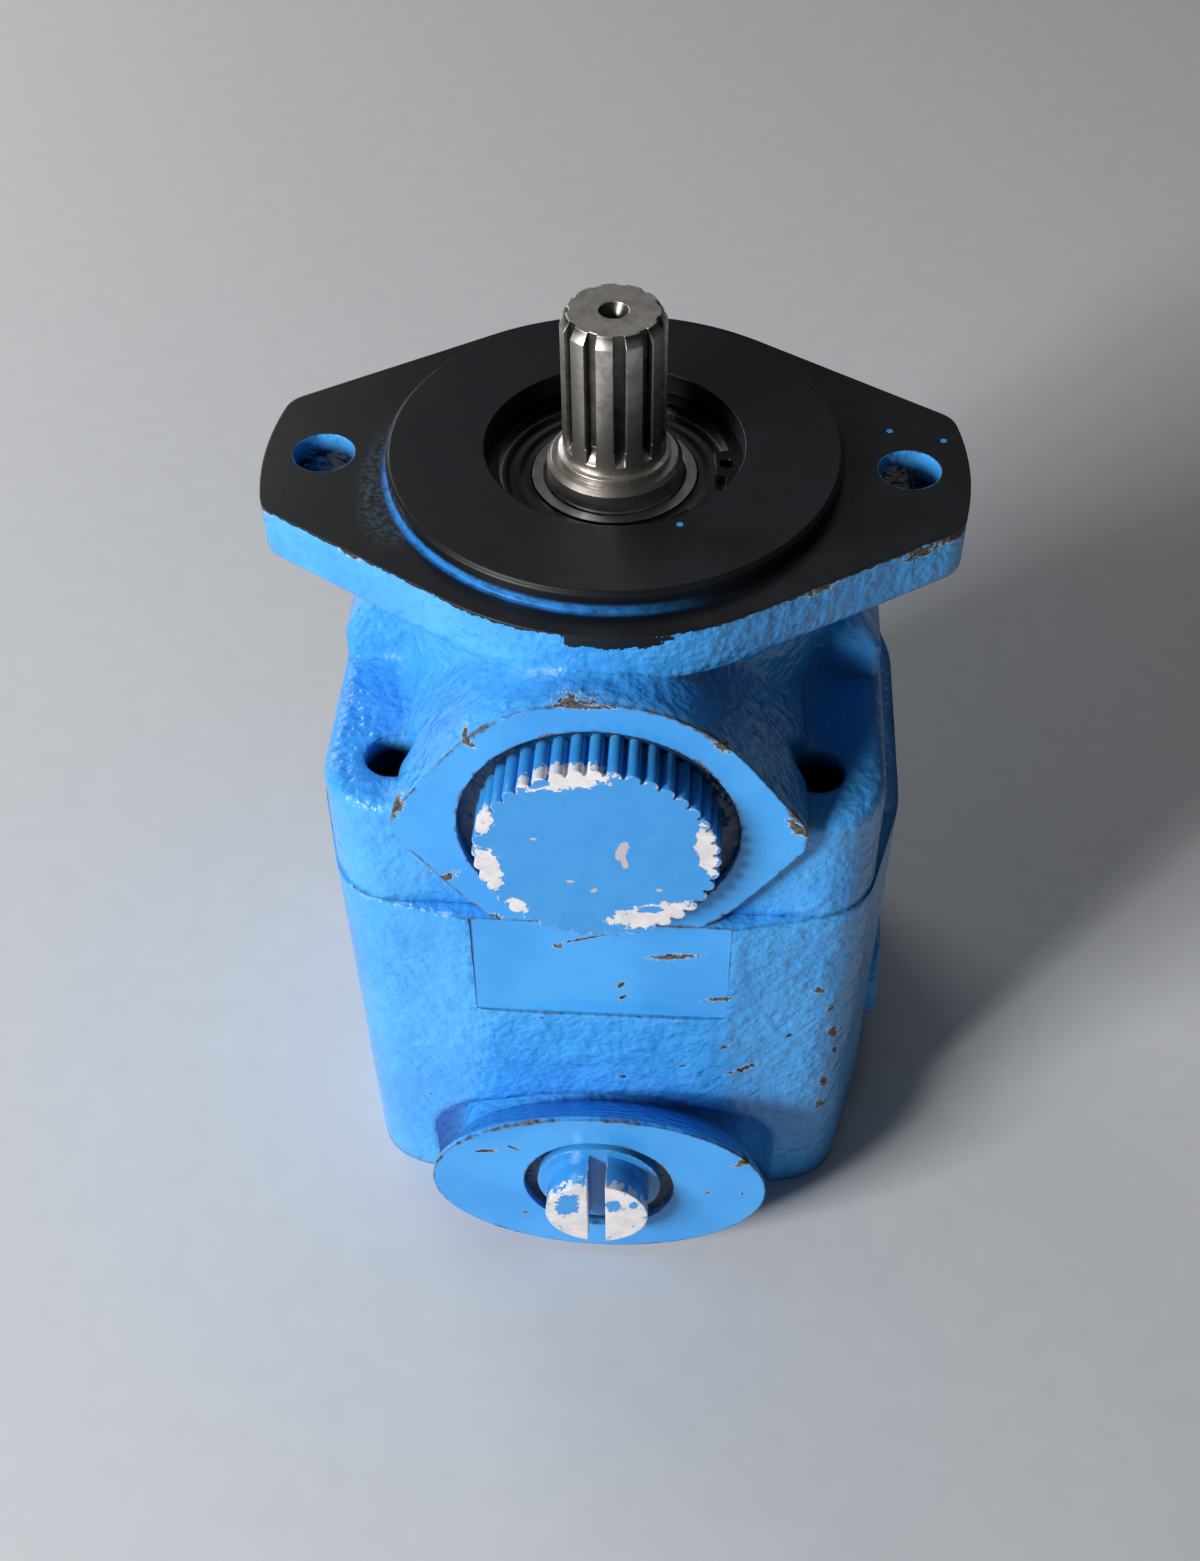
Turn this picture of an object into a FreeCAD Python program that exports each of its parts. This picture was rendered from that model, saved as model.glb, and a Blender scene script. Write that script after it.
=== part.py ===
import FreeCAD, Part
import math
import os

# Vane pump with a two-bolt flange, a splined shaft and both ports on the front.
# The origin is the centre of the flange face, where it meets its mount.
# +Z runs along the shaft to its splined end, -Y is the side of the two ports.

# Mounting flange and its locating pilot
flange_side_distance = 47.2
flange_side_angle = 57.0
flange_thickness = 11.5
flange_corner_round = 6.0
flange_edge_round = 2.2
bolt_spacing = 106.4
bolt_ear_margin = 10.8
bolt_hole_radius = 5.65
pilot_radius = 41.27
pilot_height = 4.2
pilot_chamfer = 0.7

# Body casting: neck, square block and screw shoulders
neck_radius = 40.5
neck_fillet = 5.0
block_half_width = 51.5
block_corner_radius = 12.9
block_edge_round = 2.5
shoulder_depth = 39.0
joint_depth = 65.0
gusset_half_thickness = 13.0
gusset_foot_radius = 50.6
gusset_foot_height = 7.0
gusset_bend_radius = 47.4
gusset_bend_height = 13.0
gusset_top_gap = 0.5

# Cover casting: a cup with slightly crowned walls
cover_corner_reach = 49.4
cover_side_reach = 56.9
cover_front_reach = 56.0
cover_panel_half_width = 22.0
cover_panel_round = 30.0
cover_draft = 1.0
cover_corner_radius = 13.0
rear_depth = 157.0
pad_half_width = 24.5
pad_bottom_depth = 92.5
recess_half_width = 37.5
recess_arch_rise = 21.0
recess_side_height = 16.0
recess_back_distance = 46.5
recess_back_round = 9.5
side_boss_radius = 15.0
side_boss_height = 20.0
side_boss_distance = 59.5
side_boss_edge_round = 1.5

# Ports on the front; both are closed with plastic plugs for shipping
inlet_face_distance = 55.0
inlet_joint_gap = 0.2
inlet_boss_radius = 31.6
inlet_lobe_offset = 28.8
inlet_lobe_radius = 8.2
inlet_counterbore_radius = 25.2
inlet_counterbore_depth = 3.0
inlet_thread_radius = 16.0
outlet_face_distance = 70.0
outlet_base_gap = 2.0
outlet_boss_half_width = 34.2
outlet_boss_half_height = 23.6
outlet_boss_rim = 1.0
outlet_root_distance = 56.0
outlet_root_half_width = 30.0
outlet_root_half_height = 16.8
outlet_counterbore_radius = 15.4
outlet_counterbore_depth = 2.6
outlet_thread_radius = 8.7
port_breakthrough = 5.0
port_plug_clearance = 0.3

# Cover screws
screw_offset = 38.6
screw_radius = 5.0
screw_clearance = 0.3
screw_head_radius = 8.0
screw_head_height = 10.0
screw_head_recess = 10.8
screw_head_clearance = 1.0
screw_socket_flats = 8.0
screw_socket_depth = 5.0
screw_end_depth = 46.5

# Ball bearing of the shaft, held by a ring in the flange bore
bearing_top_depth = 2.1
bearing_width = 12.0
bearing_bore_radius = 12.5
bearing_outer_radius = 23.5
inner_race_radius = 15.0
outer_race_radius = 20.4
ball_count = 10
ball_radius = 3.8
ball_clearance = 0.12
cage_half_width = 4.55
cage_inner_radius = 16.6
cage_outer_radius = 18.8
shield_thickness = 0.8
shield_inset = 0.3
shield_lip_clearance = 0.3
race_chamfer = 0.6
bearing_fit = 0.02
snap_ring_thickness = 1.7
snap_ring_groove_radius = 24.7
snap_ring_inner_radius = 21.1
snap_ring_clearance = 0.1
snap_ring_lug_radius = 18.4
snap_ring_lug_angle = 21.0
snap_ring_gap_start = -43.0
snap_ring_gap_end = -8.0
snap_ring_eye_radius = 1.25
snap_ring_eye_distance = 20.3

# Drive shaft
shaft_extension = 31.75
spline_teeth = 11
spline_outer_radius = 9.315
spline_root_radius = 7.75
spline_groove_angle = -80.5
spline_space_share = 0.46
spline_root_share = 0.8
spline_bottom_height = 5.4
spline_runout = 3.0
shaft_end_chamfer = 1.2
shaft_end_chamfer_length = 2.0
centre_hole_radius = 2.65
centre_drill_radius = 1.3
centre_drill_depth = 6.0
shaft_step_radius = 10.2
shaft_step_height = 3.3
shaft_step_slope = 0.3
collar_radius = 12.3
collar_height = 2.1
collar_chamfer = 0.8
collar_relief = 0.2
journal_radius = 11.0
journal_land = 1.3
journal_slope = 0.5
shaft_rear_chamfer = 1.0
shaft_rear_overhang = 2.0
shaft_ring_radius = 14.2
shaft_ring_thickness = 1.5
shaft_ring_groove_depth = 0.7
shaft_ring_gap = 2.4
inner_spline_clearance = 0.12

# Shaft seal with its garter spring
seal_top_depth = 17.5
seal_height = 7.5
seal_outer_radius = 19.0
seal_wall = 1.6
seal_lip_radius = 12.6
seal_lip_thickness = 2.2
seal_lip_start = 2.0
seal_lip_land = 0.8
seal_lip_end = 4.2
seal_lip_flare = 0.8
seal_running_clearance = 0.05
garter_wire_radius = 0.8
garter_gap = 0.1

# Suction chamber and bush in the body
chamber_top_depth = 27.0
chamber_bottom_depth = 52.0
chamber_radius = 31.0
shaft_passage_radius = 13.6
bush_outer_radius = 13.5
bush_clearance = 0.04
bush_inset = 0.6
journal_end_inset = 1.6

# Pumping cartridge: cam ring, rotor and vanes
ring_outer_radius = 38.9
ring_width = 25.4
cam_minor_radius = 28.0
cam_major_radius = 31.6
cam_points_per_lobe = 24
rotor_radius = 27.5
rotor_side_clearance = 0.05
vane_count = 12
vane_thickness = 2.0
vane_slot_clearance = 0.03
vane_height = 9.5
vane_tip_round = 0.7
vane_side_clearance = 0.1
vane_rest_inset = 0.2
vane_slot_floor_gap = 0.3
suction_arc_place = 135.0
discharge_arc_place = 45.0
port_arc_angle = 52.0
port_arc_inner_radius = 25.5
port_arc_outer_radius = 30.6
under_vane_groove_width = 2.0
under_vane_groove_depth = 2.0

# Pressure plate, its seal and spring, and the dowels
cover_bore_radius = 39.0
plate_thickness = 17.6
plate_radius = 38.88
plate_groove_radius = 36.2
plate_groove_width = 4.2
plate_groove_depth_back = 6.0
plate_pocket_depth = 4.0
plate_pocket_clearance = 2.0
backup_ring_width = 1.3
cover_base_thickness = 11.0
discharge_radius = 30.0
cover_bore_floor_gap = 1.0
spring_radius = 15.0
spring_wire_radius = 1.7
spring_turns = 4.0
spring_seat_depth = 4.0
spring_seat_clearance = 0.6
dowel_radius = 2.5
dowel_clearance = 0.05
dowel_circle_radius = 34.6
dowel_depth = 5.0
dowel_end_gap = 0.5
cover_seal_radius = 43.6
cover_seal_wire_radius = 1.3
cover_seal_groove_half_width = 1.7

# Shipping plugs
inlet_rib_count = 40
inlet_plug_radius = 21.9
inlet_rib_radius = 1.35
inlet_plug_projection = 5.8
inlet_shank_length = 13.0
inlet_shank_wall = 1.6
outlet_brim_radius = 12.6
outlet_brim_thickness = 2.1
outlet_stud_radius = 10.4
outlet_plug_projection = 6.8
outlet_slot_width = 3.6
outlet_shank_length = 10.0

# How far a cut runs past a face, and a piece into the one that it grows from
cut_margin = 1.0
join_overlap = 1.0

# Places worked out from the sizes above
flange_end_radius = bolt_spacing / 2 + bolt_ear_margin
inlet_depth = joint_depth - inlet_counterbore_radius - inlet_joint_gap
bearing_bottom_depth = bearing_top_depth + bearing_width
ring_bottom_depth = joint_depth + ring_width
plate_bottom_depth = ring_bottom_depth + plate_thickness
inlet_plug_seat = inlet_face_distance - inlet_counterbore_depth
outlet_plug_seat = outlet_face_distance - outlet_counterbore_depth
outlet_bottom_depth = rear_depth - outlet_base_gap
outlet_depth = outlet_bottom_depth - outlet_boss_half_height
side_boss_depth = rear_depth - side_boss_height
recess_arch_depth = rear_depth - recess_side_height
chamber_floor_depth = rear_depth - cover_base_thickness
vane_step = 360.0 / vane_count
vane_first_angle = vane_step / 2
vane_tip_radius = rotor_radius - vane_rest_inset
vane_root_radius = vane_tip_radius - vane_height
shaft_rear_depth = ring_bottom_depth + shaft_rear_overhang
slot_floor_radius = vane_root_radius - vane_slot_floor_gap

UP = FreeCAD.Vector(0, 0, 1)
FORWARD = FreeCAD.Vector(0, -1, 0)
CENTRE = FreeCAD.Vector(0, 0, 0)


def at(x, y, z):
    return FreeCAD.Vector(x, y, z)


def polar(radius, angle, z=0.0):
    """A point at a radius and an angle in degrees about the shaft axis."""
    turn = math.radians(angle)
    return at(radius * math.cos(turn), radius * math.sin(turn), z)


def upright_cylinder(radius, bottom, top, x=0.0, y=0.0):
    return Part.makeCylinder(radius, top - bottom, at(x, y, bottom), UP)


def sleeve(outer, inner, bottom, top):
    return upright_cylinder(outer, bottom, top).cut(upright_cylinder(inner, bottom, top))


def port_cylinder(radius, back, front, z):
    """A cylinder along Y between two distances in front of the shaft axis."""
    return Part.makeCylinder(radius, front - back, at(0, -back, z), FORWARD)


def turned(points):
    """A solid of revolution about the shaft axis from (radius, z) points."""
    corners = [at(radius, 0, z) for radius, z in points]
    outline = Part.makePolygon(corners + [corners[0]])
    return Part.Face(outline).revolve(CENTRE, UP, 360)


def closed_face(edges):
    return Part.Face(Part.Wire(edges))


def line(start, end):
    return Part.LineSegment(start, end).toShape()


def arc(start, middle, end):
    return Part.Arc(start, middle, end).toShape()


def fuse_all(first, others):
    return first.multiFuse(others).removeSplitter()


def edges_where(shape, test):
    """The edges whose middle point passes a test."""
    chosen = []
    for edge in shape.Edges:
        middle = edge.valueAt((edge.FirstParameter + edge.LastParameter) / 2)
        if test(middle, edge):
            chosen.append(edge)
    return chosen


def is_upright(edge):
    ends = [vertex.Point for vertex in edge.Vertexes]
    if len(ends) < 2:
        return False
    return math.hypot(ends[0].x - ends[1].x, ends[0].y - ends[1].y) < 0.01


def flange_plate():
    """The two-bolt plate: a round middle, straight flanks and round ends."""
    side = math.radians(flange_side_angle)
    tangent = polar(flange_side_distance, flange_side_angle)
    corner_angle = side - math.acos(flange_side_distance / flange_end_radius)
    corner = polar(flange_end_radius, math.degrees(corner_angle))

    def mirrored(point, sign_x, sign_y):
        return at(sign_x * point.x, sign_y * point.y, 0)

    edges = []
    for sign in (1, -1):
        low = mirrored(corner, sign, -sign)
        high = mirrored(corner, sign, sign)
        edges.append(arc(low, at(sign * flange_end_radius, 0, 0), high))
        start = mirrored(tangent, sign, sign)
        end = mirrored(tangent, -sign, sign)
        edges.append(line(high, start))
        edges.append(arc(start, at(0, sign * flange_side_distance, 0), end))
        edges.append(line(end, mirrored(corner, -sign, sign)))
    plate = closed_face(edges).extrude(at(0, 0, -flange_thickness))
    corners = edges_where(
        plate, lambda middle, edge: is_upright(edge) and abs(middle.x) > bolt_spacing / 2
    )
    plate = plate.makeFillet(flange_corner_round, corners)
    lower = edges_where(plate, lambda middle, edge: abs(middle.z + flange_thickness) < 0.01)
    return plate.makeFillet(flange_edge_round, lower)


def upright_edges(shape):
    return edges_where(shape, lambda middle, edge: is_upright(edge))


def body_block():
    side = 2 * block_half_width
    corner = at(-block_half_width, -block_half_width, -joint_depth)
    block = Part.makeBox(side, side, joint_depth - shoulder_depth, corner)
    block = block.makeFillet(block_corner_radius, upright_edges(block))
    rim = edges_where(block, lambda middle, edge: abs(middle.z + shoulder_depth) < 0.01)
    return block.makeFillet(block_edge_round, rim)


def neck():
    """The waist between the flange and the block, hollowed by a fillet at each end."""
    top = -flange_thickness + join_overlap
    bottom = -shoulder_depth - join_overlap
    wide = neck_radius + neck_fillet
    bend = neck_fillet * (1 - math.sqrt(0.5))
    upper = -flange_thickness
    lower = -shoulder_depth
    low_bend = at(neck_radius + bend, 0, lower + bend)
    high_bend = at(neck_radius + bend, 0, upper - bend)
    edges = [
        line(at(0, 0, bottom), at(wide, 0, bottom)),
        line(at(wide, 0, bottom), at(wide, 0, lower)),
        arc(at(wide, 0, lower), low_bend, at(neck_radius, 0, lower + neck_fillet)),
        line(at(neck_radius, 0, lower + neck_fillet), at(neck_radius, 0, upper - neck_fillet)),
        arc(at(neck_radius, 0, upper - neck_fillet), high_bend, at(wide, 0, upper)),
        line(at(wide, 0, upper), at(wide, 0, top)),
        line(at(wide, 0, top), at(0, 0, top)),
        line(at(0, 0, top), at(0, 0, bottom)),
    ]
    return closed_face(edges).revolve(CENTRE, UP, 360)


def gusset(angle):
    """A web from the shoulder up to the flange, sloping in to clear the bolts."""
    foot = -shoulder_depth - join_overlap
    top = -flange_thickness - gusset_top_gap
    outline = [
        (0, foot),
        (gusset_foot_radius, foot),
        (gusset_foot_radius, -shoulder_depth + gusset_foot_height),
        (gusset_bend_radius, -shoulder_depth + gusset_bend_height),
        (neck_radius, top),
        (0, top),
    ]
    corners = [at(x, gusset_half_thickness, z) for x, z in outline]
    web = Part.Face(Part.makePolygon(corners + [corners[0]]))
    web = web.extrude(at(0, -2 * gusset_half_thickness, 0))
    web.rotate(CENTRE, UP, angle)
    return web


def inlet_boss_outline(y):
    """A circle drawn out to a rounded point on each side, in a plane of one y."""
    reach = inlet_lobe_offset
    lean = math.asin((inlet_boss_radius - inlet_lobe_radius) / reach)

    def spot(centre_x, radius, angle):
        return at(centre_x + radius * math.sin(angle), y, -inlet_depth + radius * math.cos(angle))

    edges = []
    for turn in (0, math.pi):
        sign = math.cos(turn)
        first = spot(0, inlet_boss_radius, turn - lean)
        crest = spot(0, inlet_boss_radius, turn)
        second = spot(0, inlet_boss_radius, turn + lean)
        edges.append(arc(first, crest, second))
        lobe_start = spot(sign * reach, inlet_lobe_radius, turn + lean)
        lobe_tip = spot(sign * reach, inlet_lobe_radius, turn + math.pi / 2)
        lobe_end = spot(sign * reach, inlet_lobe_radius, turn + math.pi - lean)
        edges.append(line(second, lobe_start))
        edges.append(arc(lobe_start, lobe_tip, lobe_end))
        edges.append(line(lobe_end, spot(0, inlet_boss_radius, turn + math.pi - lean)))
    return Part.Wire(edges)


def inlet_boss():
    boss = Part.Face(inlet_boss_outline(-inlet_face_distance)).extrude(at(0, inlet_face_distance, 0))
    return boss.common(upright_cylinder(2 * inlet_face_distance, -joint_depth, -flange_thickness / 2))


def suction_arcs():
    """Kidney openings from the suction chamber to the two filling quadrants."""
    return kidney_pair(suction_arc_place, -joint_depth - cut_margin, -chamber_bottom_depth + cut_margin)


def kidney_pair(middle_angle, bottom, top):
    pair = []
    for angle in (middle_angle, middle_angle + 180):
        start = angle - port_arc_angle / 2
        end = angle + port_arc_angle / 2
        edges = [
            arc(polar(port_arc_outer_radius, start, bottom), polar(port_arc_outer_radius, angle, bottom),
                polar(port_arc_outer_radius, end, bottom)),
            line(polar(port_arc_outer_radius, end, bottom), polar(port_arc_inner_radius, end, bottom)),
            arc(polar(port_arc_inner_radius, end, bottom), polar(port_arc_inner_radius, angle, bottom),
                polar(port_arc_inner_radius, start, bottom)),
            line(polar(port_arc_inner_radius, start, bottom), polar(port_arc_outer_radius, start, bottom)),
        ]
        pair.append(closed_face(edges).extrude(at(0, 0, top - bottom)))
    return pair


def corners_of_square(offset):
    return [(x * offset, y * offset) for x in (-1, 1) for y in (-1, 1)]


def dowel_places():
    return [polar(dowel_circle_radius, angle) for angle in (90.0, 270.0)]


def dowel_holes(bottom, top):
    radius = dowel_radius + dowel_clearance
    return [upright_cylinder(radius, bottom, top, spot.x, spot.y) for spot in dowel_places()]


def port_bore(radius, back, front, z):
    """A drilled port that runs a little past the face that it opens in."""
    return port_cylinder(radius, back, front + cut_margin, z)


def inlet_openings():
    """The counterbore and the threaded hole of the inlet; the first also clips the cover."""
    return [
        port_bore(inlet_counterbore_radius, inlet_plug_seat, inlet_face_distance, -inlet_depth),
        port_bore(inlet_thread_radius, chamber_radius - port_breakthrough, inlet_plug_seat, -inlet_depth),
    ]


def body_casting():
    pilot = upright_cylinder(pilot_radius, -join_overlap, pilot_height)
    outside = [neck(), body_block(), inlet_boss(), pilot]
    outside += [gusset(angle) for angle in (0, 90, 180)]
    body = fuse_all(flange_plate(), outside)
    rim = edges_where(
        body, lambda middle, edge: abs(middle.z - pilot_height) < 0.01 and len(edge.Vertexes) < 2
    )
    body = body.makeChamfer(pilot_chamfer, rim)
    bore = bearing_outer_radius + bearing_fit
    groove_top = -bearing_top_depth + snap_ring_thickness + snap_ring_clearance
    seal_bottom = -seal_top_depth - seal_height
    chamber_roof = -chamber_top_depth - cut_margin
    below = -joint_depth - cut_margin
    cuts = [
        upright_cylinder(bore, -bearing_bottom_depth, pilot_height + cut_margin),
        upright_cylinder(snap_ring_groove_radius, -bearing_top_depth, groove_top),
        upright_cylinder(seal_outer_radius, seal_bottom, -bearing_bottom_depth + cut_margin),
        upright_cylinder(shaft_passage_radius, chamber_roof, -seal_top_depth),
        upright_cylinder(chamber_radius, -chamber_bottom_depth, -chamber_top_depth),
        upright_cylinder(bush_outer_radius, below, chamber_roof),
    ]
    cuts += inlet_openings()
    under_flange = -flange_thickness - cut_margin
    cuts += [
        upright_cylinder(bolt_hole_radius, under_flange, cut_margin, sign * bolt_spacing / 2)
        for sign in (-1, 1)
    ]
    cuts += [
        upright_cylinder(screw_radius + screw_clearance, below, -flange_thickness, x, y)
        for x, y in corners_of_square(screw_offset)
    ]
    cuts += suction_arcs()
    cuts += dowel_holes(below, -joint_depth + dowel_depth)
    return body.cut(cuts)


def cover_outline(draft, z):
    """A square with a flat panel in the middle of each side and slopes out to the corners."""
    corner = cover_corner_reach - draft
    side = cover_side_reach - draft
    front = cover_front_reach - draft
    panel = cover_panel_half_width
    quarter = [(side, panel), (corner, corner), (panel, front)]
    points = [at(x, y, z) for x, y in quarter]
    points += [at(-x, y, z) for x, y in reversed(quarter)]
    points += [at(-x, -y, z) for x, y in quarter]
    points += [at(x, -y, z) for x, y in reversed(quarter)]
    return Part.makePolygon(points + [points[0]])


def cover_shell():
    """A cup that narrows a little towards its base, as its mould needs."""
    base = cover_outline(cover_draft, -rear_depth)
    shell = Part.makeLoft([base, cover_outline(0, -joint_depth)], True)
    corner_distance = cover_corner_reach - cover_draft - cut_margin

    def is_side(middle):
        return -rear_depth + cut_margin < middle.z < -joint_depth - cut_margin

    def is_corner(middle):
        return min(abs(middle.x), abs(middle.y)) > corner_distance

    corners = edges_where(shell, lambda middle, edge: is_side(middle) and is_corner(middle))
    shell = shell.makeFillet(cover_corner_radius, corners)
    panel_edges = edges_where(
        shell, lambda middle, edge: is_side(middle)
        and abs(min(abs(middle.x), abs(middle.y)) - cover_panel_half_width) < 0.01
    )
    return shell.makeFillet(cover_panel_round, panel_edges)


def cover_side_boss():
    """A low round boss cast on the right wall."""
    start = at(cover_bore_radius, 0, -side_boss_depth)
    boss = Part.makeCylinder(side_boss_radius, side_boss_distance - cover_bore_radius, start, at(1, 0, 0))
    rim = edges_where(
        boss, lambda middle, edge: abs(middle.x - side_boss_distance) < 0.01 and len(edge.Vertexes) < 2
    )
    return boss.makeFillet(side_boss_edge_round, rim)


def cover_recess():
    """The arched hollow behind and beside the outlet boss, open at the base."""
    back = -recess_back_distance
    low = -rear_depth - cut_margin
    spring = -recess_arch_depth
    left = at(-recess_half_width, back, spring)
    right = at(recess_half_width, back, spring)
    oval = Part.Ellipse(CENTRE, recess_half_width, recess_arch_rise)
    arch = oval.toShape(0, math.pi)
    arch.rotate(CENTRE, at(1, 0, 0), 90)
    arch.translate(at(0, back, spring))
    edges = [
        arch,
        line(left, at(-recess_half_width, back, low)),
        line(at(-recess_half_width, back, low), at(recess_half_width, back, low)),
        line(at(recess_half_width, back, low), right),
    ]
    hollow = closed_face(edges).extrude(at(0, -2 * outlet_face_distance + recess_back_distance, 0))
    rim = edges_where(
        hollow, lambda middle, edge: abs(middle.y - back) < 0.01 and middle.z > low + cut_margin
    )
    return hollow.makeFillet(recess_back_round, rim)


def outlet_oval(half_width, half_height, distance):
    """An oval facing the front; every section of the boss has the same lowest point."""
    oval = Part.Wire([Part.Ellipse(CENTRE, half_width, half_height).toShape()])
    oval.rotate(CENTRE, at(1, 0, 0), 90)
    oval.translate(at(0, -distance, half_height - outlet_bottom_depth))
    return oval


def outlet_boss():
    """An oval pad that tapers back to a lower and narrower root."""
    rim_back = outlet_face_distance - outlet_boss_rim
    rim = outlet_oval(outlet_boss_half_width, outlet_boss_half_height, rim_back)
    root = outlet_oval(outlet_root_half_width, outlet_root_half_height, outlet_root_distance)
    plate = Part.Face(rim).extrude(at(0, -outlet_boss_rim, 0))
    stem = Part.Face(root).extrude(at(0, outlet_root_distance - discharge_radius - port_breakthrough, 0))
    return fuse_all(plate, [Part.makeLoft([root, rim], True), stem])


def cover_casting():
    shell = cover_shell().cut(cover_recess())
    shell = fuse_all(shell, [outlet_boss(), cover_side_boss()])
    pad = Part.makeBox(
        2 * pad_half_width, inlet_face_distance, pad_bottom_depth - joint_depth + cut_margin,
        at(-pad_half_width, -2 * inlet_face_distance, -pad_bottom_depth)
    )
    bore_floor = -plate_bottom_depth - cover_bore_floor_gap
    above = -joint_depth + cut_margin
    outlet_bore_back = discharge_radius - port_breakthrough
    cuts = [
        pad,
        upright_cylinder(cover_bore_radius, bore_floor, above),
        upright_cylinder(discharge_radius, -chamber_floor_depth, bore_floor + cut_margin),
        port_bore(outlet_counterbore_radius, outlet_plug_seat, outlet_face_distance, -outlet_depth),
        port_bore(outlet_thread_radius, outlet_bore_back, outlet_plug_seat, -outlet_depth),
        cover_seal_groove(),
    ]
    cuts += inlet_openings()
    recess = screw_head_radius + screw_head_clearance
    for x, y in corners_of_square(screw_offset):
        cuts.append(upright_cylinder(screw_radius + screw_clearance, -rear_depth, above, x, y))
        cuts.append(upright_cylinder(recess, -rear_depth - cut_margin, -rear_depth + screw_head_recess, x, y))
    return shell.cut(cuts)


def cover_seal_groove():
    outer = cover_seal_radius + cover_seal_groove_half_width
    inner = cover_seal_radius - cover_seal_groove_half_width
    floor = -joint_depth - 2 * cover_seal_wire_radius
    return sleeve(outer, inner, floor, -joint_depth + cut_margin)


def cover_seal():
    middle = at(0, 0, -joint_depth - cover_seal_wire_radius)
    return Part.makeTorus(cover_seal_radius, cover_seal_wire_radius, middle)


def cover_screw(x, y):
    """A socket head screw; its head sits in a recess of the base."""
    seat = -rear_depth + screw_head_recess
    head_bottom = seat - screw_head_height
    head = upright_cylinder(screw_head_radius, head_bottom, seat, x, y)
    shank = upright_cylinder(screw_radius, seat - join_overlap, -screw_end_depth, x, y)
    socket_radius = screw_socket_flats / math.sqrt(3)
    corners = [at(x, y, head_bottom) + polar(socket_radius, 60 * step) for step in range(7)]
    socket = Part.Face(Part.makePolygon(corners)).extrude(at(0, 0, screw_socket_depth))
    return head.fuse(shank).cut(socket)


def cover_screws():
    return Part.makeCompound([cover_screw(x, y) for x, y in corners_of_square(screw_offset)])


def spline_space(outer, root, bottom, top, angle):
    """The space between two teeth, narrowing a little towards its root."""
    half_outer = 180.0 / spline_teeth * spline_space_share
    half_root = half_outer * spline_root_share
    corners = [
        polar(outer + cut_margin, angle - half_outer, bottom),
        polar(root, angle - half_root, bottom),
        polar(root, angle + half_root, bottom),
        polar(outer + cut_margin, angle + half_outer, bottom),
    ]
    return Part.Face(Part.makePolygon(corners + [corners[0]])).extrude(at(0, 0, top - bottom))


def space_runout(angle):
    """The rounded end that the cutter leaves at the foot of each space."""
    depth = spline_outer_radius - spline_root_radius
    radius = (spline_runout ** 2 + depth ** 2) / (2 * depth)
    half_outer = math.radians(180.0 / spline_teeth * spline_space_share)
    width = 2 * spline_root_radius * math.sin(half_outer * (1 + spline_root_share) / 2)
    disc = Part.makeCylinder(radius, width, at(-width / 2, 0, 0), at(1, 0, 0))
    disc.translate(at(0, -spline_root_radius - radius, spline_bottom_height + spline_runout))
    disc.rotate(CENTRE, UP, angle + 90)
    return disc


def spline_angles():
    return [spline_groove_angle + 360.0 / spline_teeth * tooth for tooth in range(spline_teeth)]


def centre_hole():
    """A 60 degree lathe centre over a short drilling."""
    cone_depth = (centre_hole_radius - centre_drill_radius) * math.sqrt(3)
    cone_bottom = shaft_extension - cone_depth
    start = at(0, 0, cone_bottom)
    cone = Part.makeCone(centre_drill_radius, centre_hole_radius, cone_depth, start, UP)
    return [cone, upright_cylinder(centre_drill_radius, shaft_extension - centre_drill_depth, cone_bottom)]


def drive_shaft():
    """One turned bar with a spline cut in each end."""
    ring_top = -bearing_bottom_depth
    ring_bottom = ring_top - shaft_ring_thickness
    ring_floor = bearing_bore_radius - shaft_ring_groove_depth
    land_end = ring_bottom - journal_land
    rear_start = -joint_depth + journal_end_inset
    points = [
        (0, shaft_extension),
        (spline_outer_radius - shaft_end_chamfer, shaft_extension),
        (spline_outer_radius, shaft_extension - shaft_end_chamfer_length),
        (spline_outer_radius, shaft_step_height + shaft_step_slope),
        (shaft_step_radius, shaft_step_height),
        (shaft_step_radius, collar_height),
        (collar_radius - collar_chamfer, collar_height),
        (collar_radius, collar_height - collar_chamfer),
        (collar_radius, -bearing_top_depth + collar_relief),
        (bearing_bore_radius, -bearing_top_depth),
        (bearing_bore_radius, ring_top),
        (ring_floor, ring_top),
        (ring_floor, ring_bottom),
        (bearing_bore_radius, ring_bottom),
        (bearing_bore_radius, land_end),
        (journal_radius, land_end - journal_slope),
        (journal_radius, rear_start),
        (spline_outer_radius, rear_start - shaft_rear_chamfer),
        (spline_outer_radius, -shaft_rear_depth + shaft_rear_chamfer),
        (spline_outer_radius - shaft_rear_chamfer, -shaft_rear_depth),
        (0, -shaft_rear_depth),
    ]
    shaft = turned(points)
    cuts = centre_hole()
    front_bottom = spline_bottom_height + spline_runout
    front_top = shaft_extension + cut_margin
    rear_bottom = -shaft_rear_depth - cut_margin
    rear_top = rear_start - shaft_rear_chamfer
    for angle in spline_angles():
        cuts.append(spline_space(spline_outer_radius, spline_root_radius, front_bottom, front_top, angle))
        cuts.append(space_runout(angle))
        cuts.append(spline_space(spline_outer_radius, spline_root_radius, rear_bottom, rear_top, angle))
    return shaft.cut(cuts)


def race_track():
    middle = at(0, 0, -bearing_top_depth - bearing_width / 2)
    return Part.makeTorus(ball_circle_radius(), ball_radius + ball_clearance, middle)


def ball_circle_radius():
    return (inner_race_radius + outer_race_radius) / 2


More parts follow.
